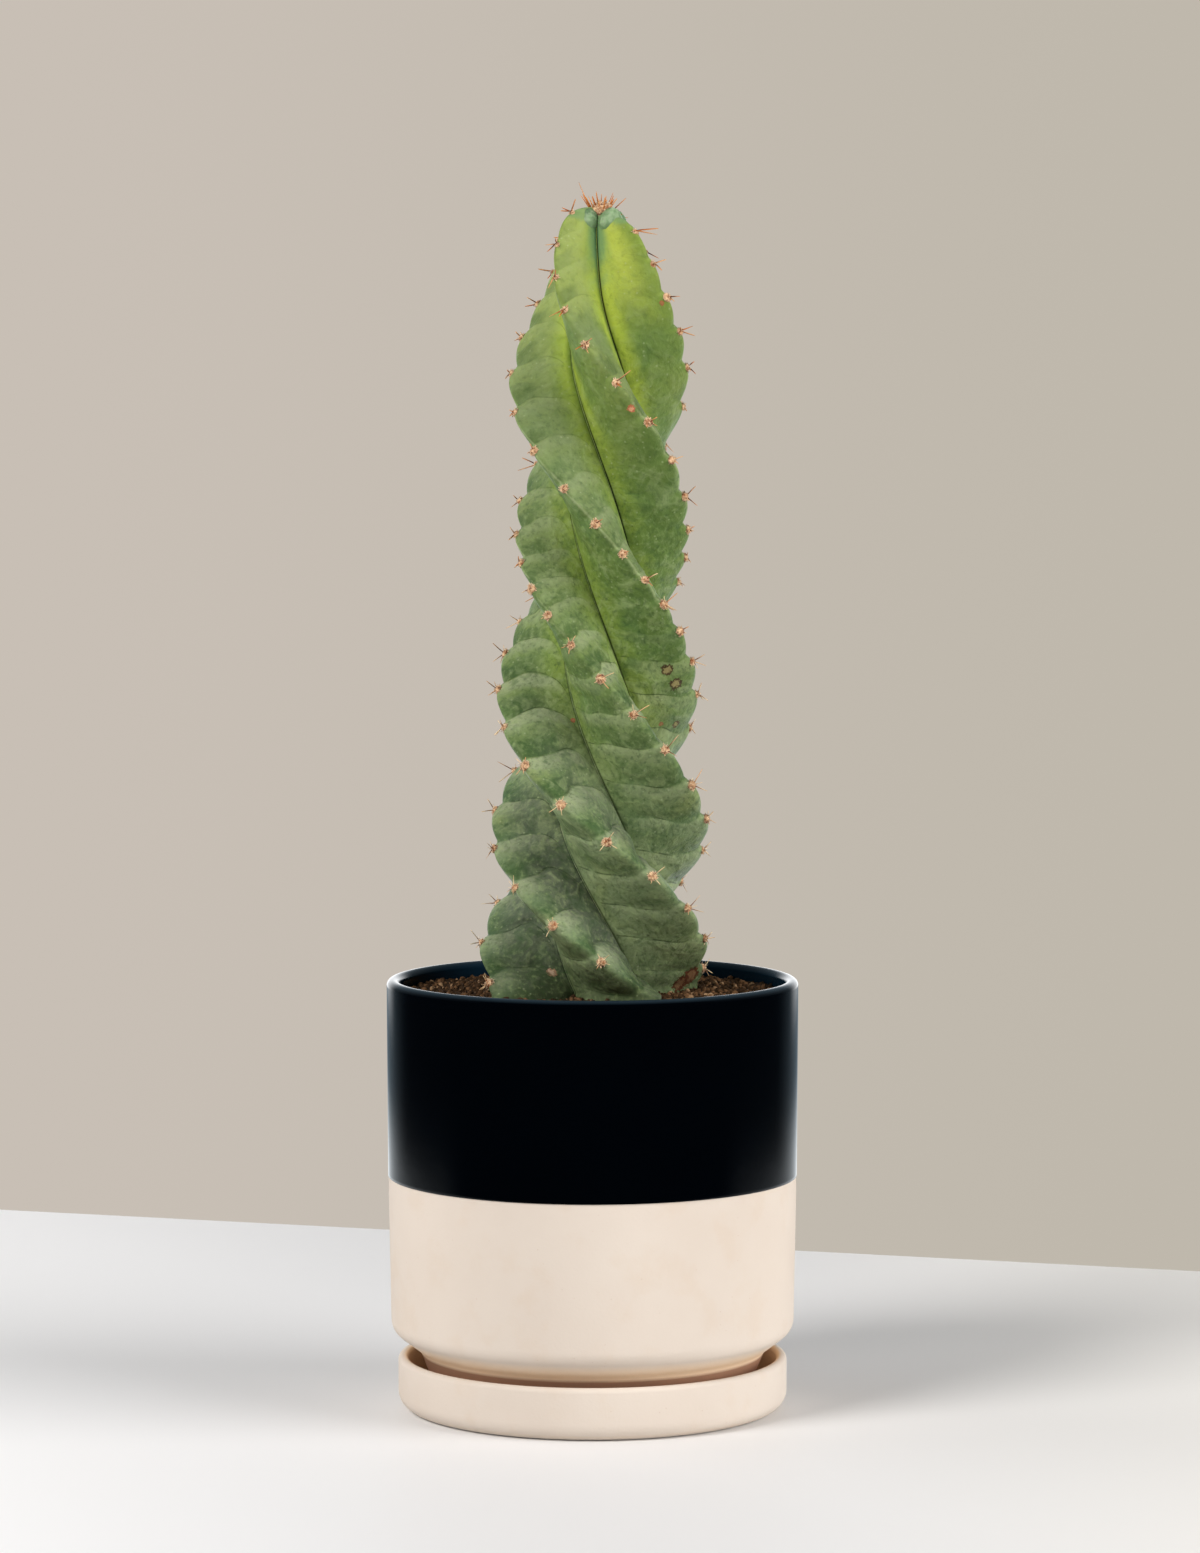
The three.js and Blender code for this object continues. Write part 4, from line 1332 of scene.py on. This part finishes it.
# %% Wool of the areoles
PAD_SINK = 0.3
PAD_RADII = (1.35, 1.75)
CAP_PLACE = (0.6, -1.6, -1.1)  # of the cap of wool, from the tip, mm
CAP_RADIUS = 3.9
PAD_FLATNESS = 0.75
FIBRE_TILT = (1.0, 1.0, 3.1)
WOOL_SIZES = {"Roughen": 0.6 * mm, "Fibre Density": 1.8e6, "Fibre Length": 0.5 * mm,
              "Fibre Girth": 0.045 * mm, "Seed": 4}
random_places = random.Random(11)


def wool_cloud():
    points = [point - outward * PAD_SINK * mm for point, outward, rising, share in areoles]
    outwards = [outward for point, outward, rising, share in areoles]
    sizes = [random_places.uniform(*PAD_RADII) * mm * (0.8 if share > 0.9 else 1.12 - 0.15 * share)
             for point, outward, rising, share in areoles]
    cap = Vector((float(lean(STEM_TIP)) + CAP_PLACE[0], CAP_PLACE[1], STEM_TIP + CAP_PLACE[2]))
    return point_cloud("wool_places", points + [cap * mm], direction=outwards + [UP],
                       size=sizes + [CAP_RADIUS * mm])


def strewn(mesh, **how):
    """Points scattered over a mesh, and the rotations that stand things up on them."""
    node = mesh.tree.nodes.new("GeometryNodeDistributePointsOnFaces")
    for key, value in {"Mesh": mesh, **how}.items():
        plug(value, named(node.inputs, key))
    return Wire(node.outputs["Points"]), Wire(node.outputs["Rotation"])


def joined(*parts):
    node = parts[0].tree.nodes.new("GeometryNodeJoinGeometry")
    for part in parts:
        plug(part, node.inputs[0])
    return Wire(node.outputs[0])


def make_wool_tree(sizes):
    tree, entry = geometry_tree("wool_shape", sizes)
    seed, girth = entry["Seed"], entry["Fibre Girth"]
    size = attribute(tree, "size")
    rotation = aligned(attribute(tree, "direction", "FLOAT_VECTOR"), seed)
    pads = realized(on_points(entry["Geometry"], ball(tree, 1, 3),
                              vector(tree, size, size, size * PAD_FLATNESS), Rotation=rotation))
    pads = store(roughened(pads, 1400, 2, entry["Roughen"]), "fibre", 0)

    points, upright = strewn(pads, Density=entry["Fibre Density"], Seed=seed)
    tilt = drawn(tree, tuple(-angle for angle in FIBRE_TILT), FIBRE_TILT, seed)
    length = drawn(tree, 0.5, 1.2, seed) * entry["Fibre Length"]
    fibres = on_points(points, bent_cone(tree, 3, 5, 9, 0.4), vector(tree, girth, girth, length),
                       Rotation=spun(upright, tilt))
    fibres = store(fibres, "fibre", 1, domain="INSTANCE")
    return finish_tree(joined(fibres, pads), areole_wool)


wool = grow("areole_wool_pads", wool_cloud(), make_wool_tree, WOOL_SIZES)
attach(wool, "root")
print("wool:", len(wool.data.polygons), "faces")

# %% [markdown]
# The soil is a dark gritty mix. Its bed is a closed ring between the stem and the pot's wall,
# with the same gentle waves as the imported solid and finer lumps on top. Grains are scattered
# over it: mostly brown crumbs, and a few pale bits of grit and bark.

# %% Bed of potting soil
SOIL_RELIEF = 0.45
SOIL_WAVES = (5.3, 4.7, 8.1)
SOIL_RINGS = 44
SOIL_CLEARANCE = 0.25
SOIL_DEPTH = 12
soil_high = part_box("soil")[1] / mm
soil_top = soil_high.z - 2 * SOIL_RELIEF


def make_soil_finish():
    material, tree, shader, place = new_material("potting_soil", Roughness=0.95,
                                                 Specular_IOR_Level=0.2)
    tone = shader_value(tree, "tone")
    damp = mottle(place, 0.012, 2)
    grit = specks(place, 0.0012, 0.25, 0.35)
    crumb = lay(mix(damp, linear(38, 27, 17), linear(70, 51, 34)),
                (tone.fit(0.45, 0.8), (104, 76, 52)),
                (tone.fit(0.93, 0.97), (150, 120, 90)),
                (grit * 0.35, (120, 90, 64)))
    plug(crumb, shader.inputs["Base Color"])
    bump(shader, noise(tree, 1600, 4, Vector=place), 0.0004, 0.8)
    return material


def soil_bed():
    """A closed ring of soil, whose inner edge follows the stem at the ground line."""
    row = int(np.searchsorted(rows, GROUND_LINE))
    stem_ring = stem_points[row, :, :2].astype(float) / mm
    ahead = np.roll(stem_ring, -1, axis=0) - np.roll(stem_ring, 1, axis=0)
    outwards = np.stack([ahead[:, 1], -ahead[:, 0]], axis=1)
    outwards = outwards / np.linalg.norm(outwards, axis=1, keepdims=True)
    inner = stem_ring + outwards * SOIL_CLEARANCE
    angles = np.unwrap(np.arctan2(inner[:, 1], inner[:, 0]))
    count = len(angles)
    even = angles[0] + 2 * np.pi * np.arange(count) / count * np.sign(angles[-1] - angles[0])
    outer = soil_high.x * np.stack([np.cos(even), np.sin(even)], axis=1)
    rings = []
    for share in np.arange(SOIL_RINGS + 1) / SOIL_RINGS:
        flat = inner * (1 - share) + outer * share
        x, y = flat.T
        waves = np.sin(x / SOIL_WAVES[0] + 1) * np.cos(y / SOIL_WAVES[1])
        waves = SOIL_RELIEF * (waves + np.sin((x + 2 * y) / SOIL_WAVES[2]))
        rings.append(np.column_stack([flat, soil_top + waves]))
    rings += [np.column_stack([edge, np.full(count, soil_top - SOIL_DEPTH)])
              for edge in (outer, inner)]
    return closed_shell("soil_bed", [ring * mm for ring in rings])


potting_soil = make_soil_finish()
soil_base = soil_bed()
print("bed of soil:", len(soil_base.polygons), "faces")

# %% [markdown]
# The tree lifts fine lumps on the top of the bed and strews grains over it. Every grain is the
# same faceted ball, stretched, turned and sized by seeded draws, with many small and few large
# ones. Each carries a tone, by which the material makes it a dark crumb or pale grit.

# %% Grains of soil
SOIL_SIZES = {"Lumps": 2.6 * mm, "Grain Density": 4.2e5, "Grain Size": 1.35 * mm, "Seed": 9}
TONE_SEED = 7
BED_TONE = 0.2
GRAIN_TURN = (6.28, 6.28, 6.28)


def make_soil_tree(sizes):
    tree, entry = geometry_tree("soil_shape", sizes)
    seed = entry["Seed"]
    on_top = part_of(add_node(tree, "GeometryNodeInputNormal", "Normal"), "Z")
    on_top = on_top.math("GREATER_THAN", 0.5)
    lumps = noise(tree, 330, 4) - 0.85
    lift = vector(tree, z=lumps * entry["Lumps"] * on_top)
    bed = store(moved(entry["Geometry"], Offset=lift), "tone", BED_TONE)
    points, _ = strewn(bed, Selection=on_top, Density=entry["Grain Density"], Seed=seed)
    size = entry["Grain Size"] * (0.35 + drawn(tree, 0, 1, seed) ** 3)
    stretch = scaled(drawn(tree, (0.6, 0.6, 0.45), (1.25, 1.0, 0.9), seed), size)
    grains = on_points(points, ball(tree, 1, 1), stretch,
                       Rotation=drawn(tree, ORIGIN, GRAIN_TURN, seed))
    grains = store(grains, "tone", drawn(tree, 0, 1, TONE_SEED), domain="INSTANCE")
    return finish_tree(joined(grains, bed), potting_soil)


soil = grow("soil_bed", soil_base, make_soil_tree, SOIL_SIZES)
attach(soil, "root")
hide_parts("soil")
print("soil:", len(soil.data.polygons), "faces")

# %% [markdown]
# The stage is a pale table top that ends a little way behind the plant, where its far edge is
# seen. It is only a slab. Painted light makes its top brighter on the left, painted shade makes it
# darker in the middle, and a painted warm tint warms the shadow on the right.

# %% Table
TABLE_THICKNESS = 30 * mm
TABLE_CORNERS = ((-276, 471), (262, 299), (1500, -96), (1500, -1500), (-1500, -1500), (-1500, 862))


def make_table_finish():
    material, tree, shader, place = new_material("table_top", Roughness=0.6,
                                                 Specular_IOR_Level=0.2)
    rightwards = part_of(place, "X")
    # painted light on the left, painted shade in the middle, and a painted warm tint in the shadow
    # on the right
    top = lay(mix(rightwards.fit(-0.4, 0), linear(255, 254, 253), linear(224, 223, 222)),
              (rightwards.fit(0, 0.35), (243, 239, 231)),
              (mottle(place, 0.4, 0.8) * 0.4, (236, 235, 235)))
    plug(top, shader.inputs["Base Color"])
    return material


table_shape = bmesh.new()
face = table_shape.faces.new([table_shape.verts.new((x * mm, y * mm, 0))
                              for x, y in TABLE_CORNERS])
lowered = bmesh.ops.extrude_face_region(table_shape, geom=[face])["geom"]
bmesh.ops.translate(table_shape, vec=(0, 0, -TABLE_THICKNESS),
                    verts=[item for item in lowered if isinstance(item, bmesh.types.BMVert)])
table = bpy.data.objects.new("table_top", as_mesh(table_shape, "table_top"))
scene.collection.objects.link(table)
table.data.materials.append(make_table_finish())
table.visible_glossy = False  # the world stands in for it in the glaze
table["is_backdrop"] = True
print("table:", len(table.data.polygons), "faces")

# %% [markdown]
# The wall behind is plain, warm grey and far away, so only its colour matters, and the world
# supplies it where the camera looks past the table. For every other ray the world is a studio:
# a dim even room for diffuse light, and for mirror-like rays a lit wall, floor and ceiling
# behind the plant, palest straight behind it, with dark corners at the sides.

# %% World
AMBIENT = (0.06, 0.06, 0.06, 1)
DARK_ROOM = (0.02, 0.025, 0.03, 1)
LIT_WALL = (0.22, 0.3, 0.36, 1)
PALE_WALL = (2.3, 2.35, 2.4, 1)
LIT_CEILING = (0.4, 0.5, 0.58, 1)
LIT_FLOOR = (1.55, 1.66, 1.72, 1)

world = bpy.data.worlds.new("studio")
world.use_nodes = True
scene.world = world
sky = world.node_tree
looking = add_node(sky, "ShaderNodeTexCoord", "Generated")
across, backwards, upwards = (part_of(looking, letter) for letter in "XYZ")
wall = mix(across.fit(-0.12, 0.12), linear(200, 191, 181), linear(191, 184, 172))
straight_back = backwards.fit(0.8, 0.96) * upwards.fit(-0.11, -0.08)
lit_width = backwards + upwards.fit(0.02, 0.3) + upwards.fit(-0.144, -0.15, 0, 0.8)
reflected = mix(upwards.fit(-0.15, -0.12), LIT_FLOOR, LIT_WALL)
reflected = mix(straight_back, reflected, PALE_WALL)
reflected = mix(upwards.fit(0.12, 0.4), reflected, LIT_CEILING)
reflected = mix(lit_width.fit(0.55, 0.9), DARK_ROOM, reflected)
seen, mirrored = (add_node(sky, "ShaderNodeLightPath", f"Is {ray} Ray")
                  for ray in ("Camera", "Glossy"))
room = mix(mirrored, AMBIENT, reflected)
plug(mix(seen, room, wall), sky.nodes["Background"].inputs["Color"])
print("world:", len(sky.nodes), "nodes")

# %% [markdown]
# One soft key light from the front left models the ribs and throws the pot's soft shadow to the
# back right. A very large weak light on the right opens the shadows, and a third one on the far
# left draws a thin edge. All are hidden from mirror-like rays, because the dark glaze shows the
# room only at its edges.

# %% Lights
AIM = Vector((0, 0, 180 * mm))


def soft_light(name, azimuth, elevation, distance, size, power, color):
    """An area light that looks at the plant. The azimuth is 0 in front and 90 on the right."""
    data = bpy.data.lights.new(name, "AREA")
    data.shape = "DISK"
    data.size = size
    data.energy = power
    data.color = color
    light = bpy.data.objects.new(name, data)
    turn_by, lift = math.radians(azimuth), math.radians(elevation)
    away = Vector((math.sin(turn_by) * math.cos(lift), -math.cos(turn_by) * math.cos(lift),
                   math.sin(lift)))
    light.location = AIM + away * distance
    light.rotation_euler = away.to_track_quat("Z", "Y").to_euler()
    light.visible_glossy = False
    scene.collection.objects.link(light)


soft_light("key", -48, 35, distance=3.0, size=1.4, power=80, color=(1.0, 0.985, 0.975))
soft_light("fill", 66, 20, distance=3.6, size=3.0, power=152, color=(1.0, 0.985, 0.98))
soft_light("rim", -105, 25, distance=3.6, size=3.0, power=34, color=(1.0, 0.985, 0.98))

# %% [markdown]
# The box of the finished pieces is printed beside the box of the imported solids.

# %% Sizes for comparison, and the end
visual_box = [[float(value) for value in corner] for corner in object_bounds()]
for label, box in (("cad", cad_box), ("visual", visual_box)):
    print(label, [round((high - low) / mm, 1) for low, high in zip(*box)])
